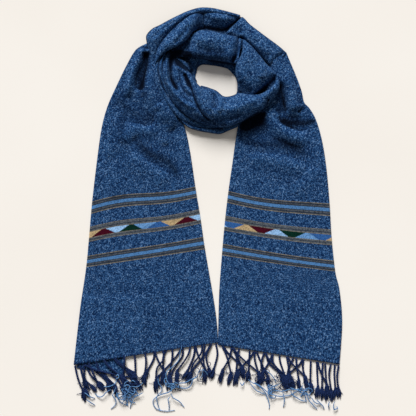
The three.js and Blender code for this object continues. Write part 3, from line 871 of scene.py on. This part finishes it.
layTurn("inner_right_cloth", "inner_right_turn", {
    "rows": [
        [59, 300, 65, 298.5, 16, 0.5],
        [61, 288, 79, 285, 26, 0.36],
        [58, 272, 92, 270, 31, 0.3],
        [50, 256, 103, 256, 33, 0.28],
        [48, 240, 114.5, 245, 33, 0.3],
        [51.5, 224, 121, 233, 31, 0.34],
        [53, 210, 112, 214, 26, 0.36],
        [55, 198, 97, 200, 18, 0.4],
    ],
    "along": 110, "across": 90, "tuck": 66, "caps": (0.05, 0.0),
    "folds": [
        [2, 7, 2, "none", [(66, 284), (64, 262), (62, 240), (62, 216)]],
        [-3, 6, 2, "none", [(54, 226), (64, 214), (80, 208)]],
        [4, 7, 2, "none", [(94, 262), (96, 246), (94, 230)]],
        [-14, 7, 1.7, "both", [(122, 236), (110, 223), (98, 210), (87, 201)]],
        [5, 3.5, 1.8, "none", [(106, 248), (114, 241), (120, 236)]],
    ],
    # painted shade along these lines
    "shadowed": [
        [0.6, 8, 2, "both", [(56, 209), (70, 206), (86, 205), (100, 212)]],
        [0.5, 6, 2, "both", [(52, 240), (55, 222), (58, 206)]],
    ],
    "on": ["lower_turn", "right_tail"],
})

layTurn("throat_cloth", "throat_turn", {
    "rows": [
        [121.5, 233.5, 126.5, 225, 17, 0.5],
        [114, 219, 124.5, 209, 24, 0.42],
        [102, 208.5, 114, 195, 28, 0.42],
        [88, 203, 101, 180, 32, 0.5],
        [72, 204, 86, 171, 35, 0.52],
        [57, 206, 70.5, 161.5, 37, 0.52],
        [41, 200, 54.5, 152, 38, 0.52],
        [27.5, 199.5, 38, 146, 38, 0.52],
        [14.5, 209.5, 16, 144.5, 38, 0.52],
        [1, 214, -5, 149, 38, 0.52],
        [-12, 216, -24, 157, 37, 0.48],
        [-21, 225, -41, 168, 36, 0.5],
        [-28, 237, -55.5, 181, 33, 0.5],
        [-37, 247, -66, 196, 30, 0.5],
        [-46, 256, -73.5, 213, 28, 0.52],
        [-54, 264, -80, 230, 24, 0.55],
        [-61, 272, -82, 247, 18, 0.55],
        [-66, 281, -80, 264, 12, 0.5],
    ],
    "along": 250, "across": 120, "caps": (0.025, 0.0),
    "folds": [
        [5.5, 4.4, 2, "start", [
            (-52, 249), (-38, 242), (-31, 236), (-24, 226), (-18, 212), (-14, 196), (-10, 184),
            (-4, 172), (4, 163)]],
        [-6.5, 2.8, 1.4, "none", [
            (-37, 234), (-32, 222), (-27, 208), (-23, 195), (-18, 183), (-11, 170), (-2, 161), (8, 156)]],
        [-5, 3.6, 2, "none", [(-41, 240), (-37, 228), (-32, 214)]],
        [2, 3, 2, "none", [(-45, 236), (-43.5, 223), (-38, 212), (-29, 204)]],
        [-4.5, 4, 2, "none", [(-49, 242), (-48, 222), (-43, 211), (-35, 202), (-26, 196)]],
        [-8, 4.6, 2, "start", [(-62, 270), (-65, 256), (-65, 240), (-63, 228), (-57, 216), (-50, 208)]],
        [5, 3.6, 2, "start", [
            (-71.5, 264), (-72, 240), (-69, 222), (-61, 208), (-50, 195), (-36, 184), (-18, 176)]],
        [-3, 3.4, 1.8, "none", [(-50, 206), (-39, 195), (-25, 187)]],
        [-4.5, 6.5, 2, "none", [(11, 206), (12, 194), (12.5, 176)]],
        [3, 4, 2, "none", [(-8, 204), (-2, 188), (6, 174)]],
        [3.5, 4, 2, "none", [(26, 199), (24, 184), (18, 171)]],
        [3, 6, 2, "none", [(24, 176), (44, 178), (66, 186), (88, 196)]],
        [-5, 6, 2, "none", [(-30, 168), (-6, 158), (20, 157), (44, 160), (66, 170)]],
        [-4, 5, 1.8, "none", [(-16, 158), (8, 150), (36, 149)]],
        [4, 6, 2, "none", [(92, 200), (106, 206), (118, 218)]],
        [-8, 2.6, 1.4, "end", [(108, 196), (104, 187), (99, 176)]],
        [2.5, 3, 2, "none", [(-18, 208), (-6, 209), (6, 208)]],
    ],
    # painted shade along these lines
    "shadowed": [
        [1.2, 9, 2, "both", [(-64, 280), (-60, 266), (-52, 256), (-40, 247)]],
        [0.7, 5, 2, "none", [(-43, 242), (-38, 232), (-34, 218), (-29, 207)]],
        [0.35, 7, 2, "none", [(-34, 168), (-8, 154), (20, 150), (44, 154), (68, 166), (92, 182)]],
    ],
    "on": ["lower_turn", "left_tail", "right_tail"],
})

layTurn("middle_pleat_cloth", "middle_pleat", {
    "rows": [
        [-30, 160, -34, 149, 8, 0.5],
        [-42, 170, -45, 156, 13, 0.5],
        [-55, 184, -57, 166, 17, 0.5],
        [-65, 199, -69.5, 182, 20, 0.5],
        [-72, 216, -81, 203, 22, 0.5],
        [-77, 232, -88.5, 219, 24, 0.5],
        [-79, 248, -92, 237, 24, 0.5],
        [-78, 264, -90.5, 254, 22, 0.5],
        [-72, 277, -83, 270, 16, 0.5],
    ],
    "along": 150, "across": 44, "tuck": 50, "footShade": 1.7,
    "folds": [
        [-9, 1.9, 1.3, "both", [(-80, 272), (-86, 256), (-86, 237), (-78, 214), (-64, 189), (-46, 168)]],
    ],
    "on": ["left_tail"],
})

layTurn("outer_pleat_cloth", "outer_pleat", {
    "rows": [
        [60, 154, 50, 144.5, 8, 0.5],
        [37, 148, 35.5, 138.5, 10, 0.5],
        [16, 147, 20.5, 133, 12, 0.5],
        [-5, 151.5, 0.5, 135.5, 13, 0.5],
        [-24, 160, -20, 139.5, 14, 0.5],
        [-41.5, 170.5, -36.5, 146, 15, 0.5],
        [-56, 184, -53, 162.5, 16, 0.5],
        [-68.5, 199.5, -69.5, 180, 17, 0.5],
        [-78, 216, -83.5, 197, 18, 0.5],
        [-83, 232, -92.5, 213.5, 18, 0.5],
        [-85, 247, -95.5, 229.5, 18, 0.5],
        [-84, 261, -95.5, 245, 17, 0.5],
        [-80, 272, -92, 257, 14, 0.5],
    ],
    "along": 170, "across": 30, "tuck": 50, "footShade": 1.7,
    "folds": [
        [-5, 2.4, 1.4, "both", [(26, 142), (-6, 144), (-32, 150), (-52, 164), (-66, 181), (-79, 203)]],
    ],
    "on": ["left_tail"],
})
print("muffler: loop laid")


# The fringe

def tubeAround(bm, line, radii, sides):  # a closed tube along a line of points in mm
    rings = []
    for i, centre in enumerate(line):
        ahead = (line[min(i + 1, len(line) - 1)] - line[max(i - 1, 0)]).normalized()
        side = Vector((0, 0, 1)).cross(ahead)
        side = side.normalized() if side.length > 1e-4 else Vector((1, 0, 0))
        up = ahead.cross(side)
        ring = []
        for k in range(sides):
            turn = 2 * math.pi * k / sides
            out = side * math.cos(turn) + up * math.sin(turn)
            ring.append(bm.verts.new((centre + out * radii[i]) * mm))
        rings.append(ring)
    for before, after in zip(rings, rings[1:]):
        for k in range(sides):
            bm.faces.new((before[k], before[(k + 1) % sides], after[(k + 1) % sides], after[k]))
    bm.faces.new(rings[0][::-1])
    bm.faces.new(rings[-1])


def alongLine(points, count):  # evenly many points on a smooth curve through the given ones
    return [Vector(rowAt(points, k / (count - 1))) for k in range(count)]


fringeShape = {
    "plyRadius": 1.15, "plyOffset": 0.9, "twist": 6.5, "rings": 34,
    "knotRadius": 1.5, "knotYarn": 1.3, "knotPoints": 10,
    # the brush: flatter than it is wide, thin at its root, with filaments of uneven width and length
    "brushRadius": 3.3, "brushFlat": 0.6, "filaments": 13, "curl": 0.09, "sway": 0.03125, "clear": 0.2,
    "bellyFrom": 0.12, "bellyLength": 0.74, "thin": 0.35, "widths": (0.6, 1.2), "lengths": (0.6, 1.0),
    "filamentRadii": [0.736, 0.92, 0.92, 0.92, 0.92, 0.874, 0.736, 0.552, 0.276],
    "strays": 4, "strayFan": 70, "strayBend": 0.55, "strayStride": (1.6, 2.8), "strayFall": -0.12,
    "strayLeast": 1.0, "strayRadii": [0.45, 0.45, 0.42, 0.4, 0.36, 0.3, 0.2],
    # a cord lies low, every second one bows up, and its root is sunk in the cloth
    "low": 2.3, "over": 3.4, "bowFrom": 0.15, "liftTo": 0.4, "sunk": 1.2, "leastRoot": 2.1,
    "brushRise": 0.4, "brushMiddle": 2.9, "brushTip": 1.6, "brushSway": 0.8,
}


def framed(line, i, turn, radius, flat=1.0):  # a point beside a line, at an angle round it
    ahead = (line[min(i + 1, len(line) - 1)] - line[max(i - 1, 0)]).normalized()
    side = Vector((0, 0, 1)).cross(ahead).normalized()
    return line[i] + side * (math.cos(turn) * radius) + ahead.cross(side) * (math.sin(turn) * radius * flat)


def twistedCord(bm, route, brush, chance):  # two plies wound round each other, a knot, and a brushed end
    shape = fringeShape
    count = shape["rings"]
    line = alongLine(route, count)
    lengths = [0.0]
    for a, b in zip(line, line[1:]):
        lengths.append(lengths[-1] + (b - a).length)
    phase = chance.uniform(0, 6.28)
    for ply in range(2):
        turns = [phase + math.pi * ply + 2 * math.pi * d / shape["twist"] for d in lengths]
        wound = [framed(line, i, turns[i], shape["plyOffset"]) for i in range(count)]
        tubeAround(bm, wound, [shape["plyRadius"]] * count, 6)
    for wrap in range(2):  # the knot: two turns of yarn side by side
        centre, points = count - 1 - 2 * wrap, shape["knotPoints"]
        angles = [2 * math.pi * k / points for k in range(points + 1)]
        ring = [framed(line, centre, angle, shape["knotRadius"]) for angle in angles]
        for place in ring:
            place.z = max(place.z, shape["knotRadius"])
        tubeAround(bm, ring, [shape["knotYarn"]] * len(ring), 5)
    last = len(shape["filamentRadii"]) - 1
    spread = alongLine(brush, last + 1)
    for k in range(shape["filaments"]):
        turn = 2 * math.pi * k / shape["filaments"] + chance.uniform(-0.3, 0.3)
        wide, stop = chance.uniform(*shape["widths"]), chance.uniform(*shape["lengths"])
        wander = chance.uniform(-1.0, 1.0)
        strand = []
        for j in range(last + 1):
            at = min(round(j * stop), last)
            full = math.sin(math.pi * min(shape["bellyFrom"] + j / last * shape["bellyLength"], 1))
            belly = (shape["thin"] + (1 - shape["thin"]) * full) * shape["brushRadius"] * wide
            hair = framed(spread, at, turn + shape["curl"] * j, belly, shape["brushFlat"])
            hair.z = max(hair.z, max(shape["filamentRadii"]) + shape["clear"])
            hair.x += shape["sway"] * wander * j * j
            strand.append(hair)
        tubeAround(bm, strand, shape["filamentRadii"], 5)
    for _ in range(shape["strays"]):
        start = line[-1] + Vector((chance.uniform(-1, 1), chance.uniform(-2, 1), 0.6))
        heading = math.radians(-90 + chance.uniform(-shape["strayFan"], shape["strayFan"]))
        point, stray = start, [start]
        for _ in shape["strayRadii"][1:]:
            heading += chance.uniform(-shape["strayBend"], shape["strayBend"])
            onward = Vector((math.cos(heading), math.sin(heading), shape["strayFall"]))
            point = point + onward * chance.uniform(*shape["strayStride"])
            point.z = max(point.z, shape["strayLeast"])
            stray.append(point)
        tubeAround(bm, stray, shape["strayRadii"], 4)


# Oversewn stitches: each point of the path is how far down the hem and how far above the cloth
stitchShape = {
    "pitch": 5.2, "uneven": 0.12, "lean": 0.5,
    "path": [(-3.6, 0.1), (-1.6, 0.7), (0.5, 0.4), (1.2, -1.2)], "radii": [0.45, 0.7, 0.75, 0.5],
}


def hemStitches(bm, hem, clothTop, liftAt, chance):  # short oversewn stitches over the hem
    shape = stitchShape
    left, right = [Vector((*end, 0)) for end in hem]
    count = int((right - left).length / shape["pitch"])
    down = Vector((0, -1, 0))
    for k in range(count):
        start = left.lerp(right, (k + 0.5 + chance.uniform(-shape["uneven"], shape["uneven"])) / count)
        lean = Vector((chance.uniform(-shape["lean"], shape["lean"]), 0, 0))
        top = clothTop + liftAt(start.x)
        line = [start + down * ahead + Vector((0, 0, top + above)) for ahead, above in shape["path"]]
        line[0] += lean
        tubeAround(bm, line, shape["radii"], 5)


# A cord is a row of places in mm: its root, one or two bends, its knot, and last the tip of its brush.
# Crossings add cords that run from the root of one charted cord to beside the end of another
crossingShape = {"aside": 2.6, "rootAside": 0.6, "sag": 2, "brush": 0.9}


def crossed(cords, crossings):
    shape = crossingShape
    more = []
    for start, stop, length in crossings:
        root, end = Vector(cords[start][0]), [Vector(place) for place in cords[stop]]
        aside = Vector((shape["aside"] if start < stop else -shape["aside"], 0))
        knot = root + (end[-2] - root) * length + aside
        tip = knot + (end[-1] - end[-2]) * shape["brush"]
        bend = (root * 2 + knot) / 3 - Vector((0, shape["sag"]))
        more.append([root + aside * shape["rootAside"], bend, knot, tip])
    return cords + more


# Short tangled yarns that wander about a middle; reach is how far they stray each way, mm
tangleShape = {
    "out": (0.1, 0.8), "heights": (3.0, 8.0), "least": 1.2, "steps": 9, "stride": 3.4, "wander": 0.7,
    "climb": (-0.5, 0.4), "rings": 24, "tip": 0.4, "navyRadius": 0.6, "blueRadius": 0.75,
}


def tangle(bm, middle, reach, count, radius, chance):
    shape = tangleShape
    for _ in range(count):
        turn, far = chance.uniform(0, 2 * math.pi), chance.uniform(*shape["out"])
        startX = middle[0] + reach[0] * far * math.cos(turn)
        startY = middle[1] + reach[1] * far * math.sin(turn)
        point = Vector((startX, startY, chance.uniform(*shape["heights"])))
        heading = chance.uniform(0, 2 * math.pi)
        line = [point]
        for _ in range(shape["steps"]):
            home = math.atan2(middle[1] - point.y, middle[0] - point.x)
            strayed = abs(point.x - middle[0]) / reach[0] + abs(point.y - middle[1]) / reach[1]
            pull = math.sin(home - heading) * min(strayed, 1)
            heading += shape["wander"] * pull + chance.uniform(-shape["wander"], shape["wander"])
            onward = Vector((math.cos(heading), math.sin(heading), chance.uniform(*shape["climb"])))
            point = point + onward * shape["stride"]
            point.z = max(point.z, shape["least"])
            line.append(point)
        radii = [radius] * (shape["rings"] - 1) + [shape["tip"] * radius]
        tubeAround(bm, alongLine([tuple(p) for p in line], shape["rings"]), radii, 4)


def layFringe(name, node, fringe, liftAt=lambda x: 0.0):
    chance = random.Random(fringe["seed"])
    shape = fringeShape
    clothTop = fringe["clothTop"]
    bm = bmesh.new()
    for i, places in enumerate(fringe["cords"]):
        over = shape["over"] * (i % 2)
        points = [Vector(place) for place in places]
        rootLift = liftAt(points[0].x)
        route = []
        for k, (x, y) in enumerate(points[:-1]):
            share = k / (len(points) - 2)
            bow = over * math.sin(math.pi * min(share + shape["bowFrom"], 1))
            height = shape["low"] + bow + rootLift * smooth(share, 1.0, shape["liftTo"])
            if k == 0:
                height = max(clothTop + rootLift - shape["sunk"], shape["leastRoot"])
            route.append([x, y, height])
        knotX, knotY, knotZ = route[-1]
        tipX, tipY = points[-1]
        middleX = (knotX + tipX) / 2 + chance.uniform(-shape["brushSway"], shape["brushSway"])
        brush = [
            [knotX, knotY, knotZ + shape["brushRise"]], [middleX, (knotY + tipY) / 2, shape["brushMiddle"]],
            [tipX, tipY, shape["brushTip"]],
        ]
        twistedCord(bm, route, brush, chance)
    for middle, reach, count in fringe["tangles"]:
        tangle(bm, middle, reach, count, tangleShape["navyRadius"], chance)
    hemStitches(bm, fringe["hem"], clothTop, liftAt, chance)
    bmesh.ops.recalc_face_normals(bm, faces=bm.faces)
    piece = newPiece(name, bm, fringeNavy)
    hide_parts(node)
    return piece


# Loose pale ends, each a line of places in mm, charted
leftLoose = [
    [(-45, -236), (-48.5, -248.5), (-50.5, -260.5), (-61, -273), (-71.5, -281.5), (-73, -290.5),
     (-69.5, -301), (-62.5, -308), (-66, -316.5), (-82, -322), (-90.5, -327), (-96, -334),
     (-92.5, -344.5), (-83.5, -350), (-69.5, -351.5), (-57.5, -350)],
    [(-8.5, -278), (-15.5, -281.5), (-19, -290.5), (-26, -295.5), (-29.5, -306), (-38, -311.5),
     (-54, -309.5), (-62.5, -308)],
    [(-8.5, -278), (-3, -283.5), (2, -292)],
    [(-8.5, -278), (-10, -288.5), (-13.5, -295.5)],
    [(-19, -290.5), (-29.5, -295.5), (-40, -301), (-54, -302.5), (-61, -306), (-66, -315)],
    [(-64.5, -320), (-61, -327), (-52, -332.5), (-47, -337.5), (-41.5, -344.5)],
    [(-66, -325.5), (-69.5, -330.5), (-68, -339.5), (-68, -350)],
    [(-83.5, -318.5), (-89, -325.5), (-89, -332.5), (-87, -341), (-83.5, -350)],
    [(-87, -294), (-85.5, -302.5), (-80, -311.5), (-83.5, -320)],
]
selvedgeLoose = [
    [(-160.5, -290.5), (-157, -287), (-155.5, -292), (-160.5, -295.5), (-153.5, -299)],
    [(-113.5, -301), (-122, -308), (-132.5, -308), (-139.5, -311.5), (-143, -325.5), (-139.5, -343)],
    [(-113.5, -318.5), (-122, -323.5), (-129, -327), (-134.5, -339.5), (-136, -346.5)],
    [(-120.5, -320), (-129, -320), (-136, -325.5), (-139.5, -332.5), (-143, -341)],
    [(-160.5, -309.5), (-164, -318.5), (-166, -323.5), (-160.5, -332.5), (-162.5, -341), (-169.5, -348)],
    [(-159, -318.5), (-157, -329), (-150, -337.5), (-139.5, -341)],
    [(-150, -318.5), (-145, -329), (-139.5, -336)],
    [(-169.5, -313), (-178, -318.5), (-185, -325.5), (-192, -325.5), (-197.5, -320)],
    [(-215, -318.5), (-206, -325.5), (-197.5, -329)],
    [(-211.5, -330.5), (-204.5, -336), (-197.5, -341)],
    [(-181.5, -308), (-173, -308), (-164, -304.5), (-159, -297.5)],
    [(-136, -304.5), (-132.5, -297.5), (-125.5, -302.5), (-129, -309.5)],
    [(-143, -318.5), (-134.5, -325.5), (-136, -336)],
    [(-150, -337.5), (-143, -327), (-145, -316.5), (-152, -309.5)],
]
rightLoose = [
    [(70.5, -295.5), (77.5, -301), (88, -306), (100, -318.5), (107, -337.5), (107, -348)],
    [(81, -301), (93, -308), (105.5, -318.5), (117.5, -323.5), (128, -325.5), (144, -323.5), (151, -318.5)],
    [(74, -302.5), (82.5, -313), (91.5, -318.5), (100, -322)],
    [(102, -280), (110.5, -287), (117.5, -297.5), (119.5, -302.5)],
    [(128, -301), (119.5, -306), (112.5, -308), (105.5, -315), (114, -316.5), (123, -315)],
    [(131.5, -320), (133.5, -332.5), (131.5, -344.5)],
    [(144, -309.5), (152.5, -313), (163, -315), (173.5, -315), (182.5, -313), (193, -311.5)],
    [(144, -315), (147.5, -322), (154.5, -327), (163, -332.5), (172, -334)],
    [(170, -318.5), (177, -332.5), (184, -341), (191, -348)],
    [(189.5, -330.5), (194.5, -336), (201.5, -343), (203.5, -348)],
    [(212, -334), (210.5, -341), (212, -348)],
    [(221, -334), (219, -343), (221, -348), (226, -346.5), (226, -343)],
    [(56.5, -301), (60, -306), (63.5, -301)],
    [(180.5, -327), (187.5, -336), (198, -339.5)],
]


looseShape = {
    "radius": 0.98, "low": 1.4, "uneven": (-0.2, 0.3), "rootRise": 4.6, "riseTo": 0.35,
    "jitter": 0.3, "ringsPerPlace": 5,
}


def layLoose(name, loose):
    chance = random.Random(loose["seed"])
    shape = looseShape
    jitter = shape["jitter"]
    bm = bmesh.new()
    for line in loose["lines"]:
        path = []
        for k, (x, y) in enumerate(line):
            share = k / (len(line) - 1)
            rise = shape["rootRise"] * smooth(share, 1.0, shape["riseTo"])
            path.append([x, y, shape["low"] + rise + chance.uniform(*shape["uneven"])])
        points = alongLine(path, shape["ringsPerPlace"] * len(path))
        for point in points[1:-1]:
            point.x += chance.uniform(-jitter, jitter)
            point.y += chance.uniform(-jitter, jitter)
        radii = []
        for k in range(len(points)):
            full = math.sin(math.pi * (k + 1) / (len(points) + 1))
            radii.append(shape["radius"] * (0.5 + 0.5 * full))
        tubeAround(bm, points, radii, 5)
    for middle, reach, count in loose["tangles"]:
        tangle(bm, middle, reach, count, tangleShape["blueRadius"], chance)
    bmesh.ops.recalc_face_normals(bm, faces=bm.faces)
    piece = newPiece(name, bm, looseBlue)
    return piece


leftCords = [
    [(-232, -272), (-227, -294), (-218, -316.5), (-216.5, -336)],
    [(-223.5, -272), (-218, -290.5), (-215, -313), (-208, -330.5)],
    [(-216, -270.5), (-215, -294), (-203.5, -307), (-195.5, -318.5)],
    [(-208, -267.5), (-199, -287), (-191.5, -304.5), (-181.5, -316.5)],
    [(-195.5, -264), (-190.5, -278), (-174.5, -297.5), (-167.5, -315)],
    [(-181.5, -261.5), (-171, -274.5), (-152, -290.5), (-141.5, -308)],
    [(-164, -258), (-157, -267.5), (-141.5, -280), (-125.5, -295.5)],
    [(-146, -254.5), (-145.5, -267.5), (-148.5, -290.5), (-143, -311.5)],
    [(-128, -251), (-127, -267.5), (-126.5, -288.5), (-129, -311.5)],
    [(-110, -248.5), (-108, -265), (-110.5, -287), (-111, -309.5)],
    [(-94, -246), (-95, -260.5), (-106, -281.5), (-117, -302.5)],
    [(-78.5, -245), (-77.5, -260.5), (-89, -276.5), (-91, -299), (-91, -322)],
    [(-72, -244), (-78.5, -259.5), (-76.5, -287), (-82, -308)],
    [(-62, -243), (-62.5, -259.5), (-67.5, -287), (-69.5, -316.5)],
    [(-44, -241), (-45, -255.5), (-59, -276.5), (-66, -294), (-64.5, -318.5)],
    [(-30.5, -238.5), (-36, -255.5), (-54, -281.5), (-55.5, -308)],
    [(-23, -238), (-25, -255.5), (-36.5, -282.5), (-43.5, -297.5)],
    [(-10, -236), (-12, -250), (-26, -269.5), (-30.5, -288.5), (-36.5, -304.5)],
    [(-5, -235.5), (-8, -255.5), (-5.5, -283.5), (-7, -304.5)],
    [(6.5, -234), (-3, -255.5), (2, -278), (5.5, -295.5)],
    [(14, -233.5), (16.5, -253.5), (9.5, -280), (5.5, -295.5)],
]
selvedgeCords = [
    [(-222, -277.5), (-220, -287), (-216.5, -299), (-209.5, -316.5)],
    [(-209.5, -280), (-202.5, -290.5), (-192, -301), (-180, -311.5)],
    [(-195.5, -282.5), (-183.5, -292), (-174.5, -302.5), (-171, -322)],
    [(-181.5, -285.5), (-173, -295.5), (-162.5, -306), (-159, -327)],
    [(-169.5, -288), (-159, -295.5), (-150, -308), (-143, -327)],
    [(-157, -290), (-146.5, -294), (-136, -302.5), (-131, -323.5)],
    [(-146.5, -291.5), (-136, -292), (-124, -299), (-115, -316.5)],
]
rightCords = [
    [(25, -237.5), (33.5, -257), (40.5, -286), (35.5, -308)],
    [(41.5, -240.5), (37, -259), (25.5, -280), (20, -304.5)],
    [(43, -241.5), (50.5, -259), (49, -287), (47.5, -308)],
    [(55, -243), (52, -255.5), (61, -276.5), (62.5, -299)],
    [(73, -246), (72.5, -259), (71, -283.5), (68, -302.5)],
    [(82, -247.5), (82, -262.5), (89.5, -287), (95.5, -306)],
    [(85.5, -248), (93.5, -267.5), (104.5, -290.5), (106, -309.5)],
    [(98.5, -250), (93, -267.5), (96, -288.5), (86, -308)],
    [(102, -250.5), (107, -267.5), (126.5, -285), (140.5, -304.5)],
    [(113.5, -252.5), (114, -266), (131.5, -290.5), (133.5, -311.5)],
    [(125, -254.5), (127, -267.5), (136.5, -294), (135.5, -320)],
    [(138, -256.5), (140.5, -271), (145.5, -295.5), (151, -316.5)],
    [(149.5, -258.5), (142, -274.5), (138, -292), (144.5, -315)],
    [(154.5, -259.5), (155, -273), (159, -297.5), (160, -316.5)],
    [(167, -261.5), (166, -276.5), (170.5, -294), (174, -313)],
    [(180, -263.5), (179, -278), (179, -302.5), (183, -323.5)],
    [(190.5, -265.5), (191, -283.5), (192.5, -309.5), (191, -330.5)],
    [(201, -267.5), (199.5, -285), (199.5, -311.5), (199, -332.5)],
    [(205, -268), (206, -287), (208, -311.5), (207.5, -336)],
    [(215, -270), (211.5, -287), (215.5, -315), (215.5, -336)],
    [(222, -271), (221, -287), (223, -313), (220.5, -332.5)],
    [(228.5, -272), (225.5, -290.5), (228, -311.5), (228.5, -330.5)],
]


# A crossing is the cord it starts from, the cord it runs to and how far it goes; a tangle is its
# middle, its reach and how many yarns it has
leftFringe = layFringe("left_fringe_cords", "left_fringe", {
    "hem": [(-234, -269), (16.5, -230.3)], "clothTop": tailEdge["top"], "seed": 11,
    "cords": crossed(leftCords, [
        (2, 5, 0.95), (6, 8, 0.85), (10, 12, 0.9), (14, 11, 0.88), (16, 18, 0.92), (19, 17, 0.9)]),
    "tangles": [((-128, -306), (18, 14), 10), ((-60, -298), (18, 12), 7), ((-14, -284), (12, 10), 4)],
}, overFlap)
selvedgeFringe = layFringe("turned_selvedge_fringe_cords", "turned_selvedge_fringe", {
    "hem": [(-227, -276), (-144, -291)], "clothTop": 2.1, "seed": 12,
    "cords": selvedgeCords, "tangles": [((-140, -312), (26, 14), 10)],
})
rightFringe = layFringe("right_fringe_cords", "right_fringe", {
    "hem": [(18.5, -234), (230, -267.8)], "clothTop": tailEdge["top"], "seed": 13,
    "cords": crossed(rightCords, [
        (0, 3, 0.9), (2, 5, 0.92), (5, 2, 0.85), (7, 10, 0.9), (9, 7, 0.86), (11, 14, 0.88),
        (14, 12, 0.8), (16, 18, 0.86)]),
    "tangles": [((100, -292), (20, 12), 8), ((140, -302), (24, 12), 10), ((56, -286), (16, 10), 5)],
})
leftEnds = layLoose("left_loose_ends", {
    "lines": leftLoose, "seed": 21, "tangles": [((-62, -306), (20, 12), 5)]})
selvedgeEnds = layLoose("turned_selvedge_loose_ends", {
    "lines": selvedgeLoose, "seed": 22, "tangles": [((-140, -318), (20, 13), 14)]})
rightEnds = layLoose("right_loose_ends", {
    "lines": rightLoose, "seed": 23, "tangles": [((112, -318), (26, 10), 5), ((168, -318), (30, 10), 8)]})

print("muffler: fringe made")


# Stage, lights and camera

studio = {
    "floorSize": 6, "floorColours": [(0.3, (243, 237, 229)), (0.7, (246, 241, 234))], "floorGrain": 3,
    "floorRoughness": 0.9, "floorSpecular": 0.1,
    "skyColour": (1.0, 0.985, 0.965, 1), "skyStrength": 0.22,
    "keyStrength": 4.26, "keyAngle": 26.0, "keyFrom": (-0.22, 1.0), "keyHeight": 36.5,
    "frameWidth": 0.728, "aimX": 0.00026, "aimY": 0.0037, "sensor": 36,
}
bm = bmesh.new()
bmesh.ops.create_grid(bm, x_segments=1, y_segments=1, size=studio["floorSize"])
floorMesh = bpy.data.meshes.new("pale floor")
bm.to_mesh(floorMesh)
bm.free()
floorObject = bpy.data.objects.new("floor", floorMesh)
bpy.context.collection.objects.link(floorObject)
paper = Nodes("warm white paper")
grainSpot = paper.add("ShaderNodeTexCoord").outputs["Object"]
paperColour = paper.ramp(paper.noise(grainSpot, studio["floorGrain"], 2), studio["floorColours"])
paper.link(paperColour, paper.shader.inputs["Base Color"])
paper.shader.inputs["Roughness"].default_value = studio["floorRoughness"]
paper.shader.inputs["Specular IOR Level"].default_value = studio["floorSpecular"]
floorMesh.materials.append(paper.material)

world = bpy.data.worlds.new("studio")
bpy.context.scene.world = world
world.use_nodes = True
world.node_tree.nodes["Background"].inputs[0].default_value = studio["skyColour"]
world.node_tree.nodes["Background"].inputs[1].default_value = studio["skyStrength"]

# one broad soft light, from beyond the loop and a little to the left
keyLight = bpy.data.lights.new("softbox", "SUN")
keyLight.energy = studio["keyStrength"]
keyLight.angle = math.radians(studio["keyAngle"])
keyLight.color = (1.0, 1.0, 1.0)
keyObject = bpy.data.objects.new("softbox", keyLight)
towards = Vector((*studio["keyFrom"], math.tan(math.radians(studio["keyHeight"]))))
keyObject.rotation_euler = towards.to_track_quat("Z", "Y").to_euler()
bpy.context.collection.objects.link(keyObject)

camera = bpy.data.cameras.new("camera")
camera.sensor_width = studio["sensor"]
camera.lens = studio["sensor"] * cameraHeight / studio["frameWidth"]
cameraObject = bpy.data.objects.new("camera", camera)
cameraObject.location = (studio["aimX"], studio["aimY"], cameraHeight)
bpy.context.collection.objects.link(cameraObject)
bpy.context.scene.camera = cameraObject
bpy.context.scene.view_settings.view_transform = "Standard"
bpy.context.scene.view_settings.look = "None"
print("muffler: stage set")
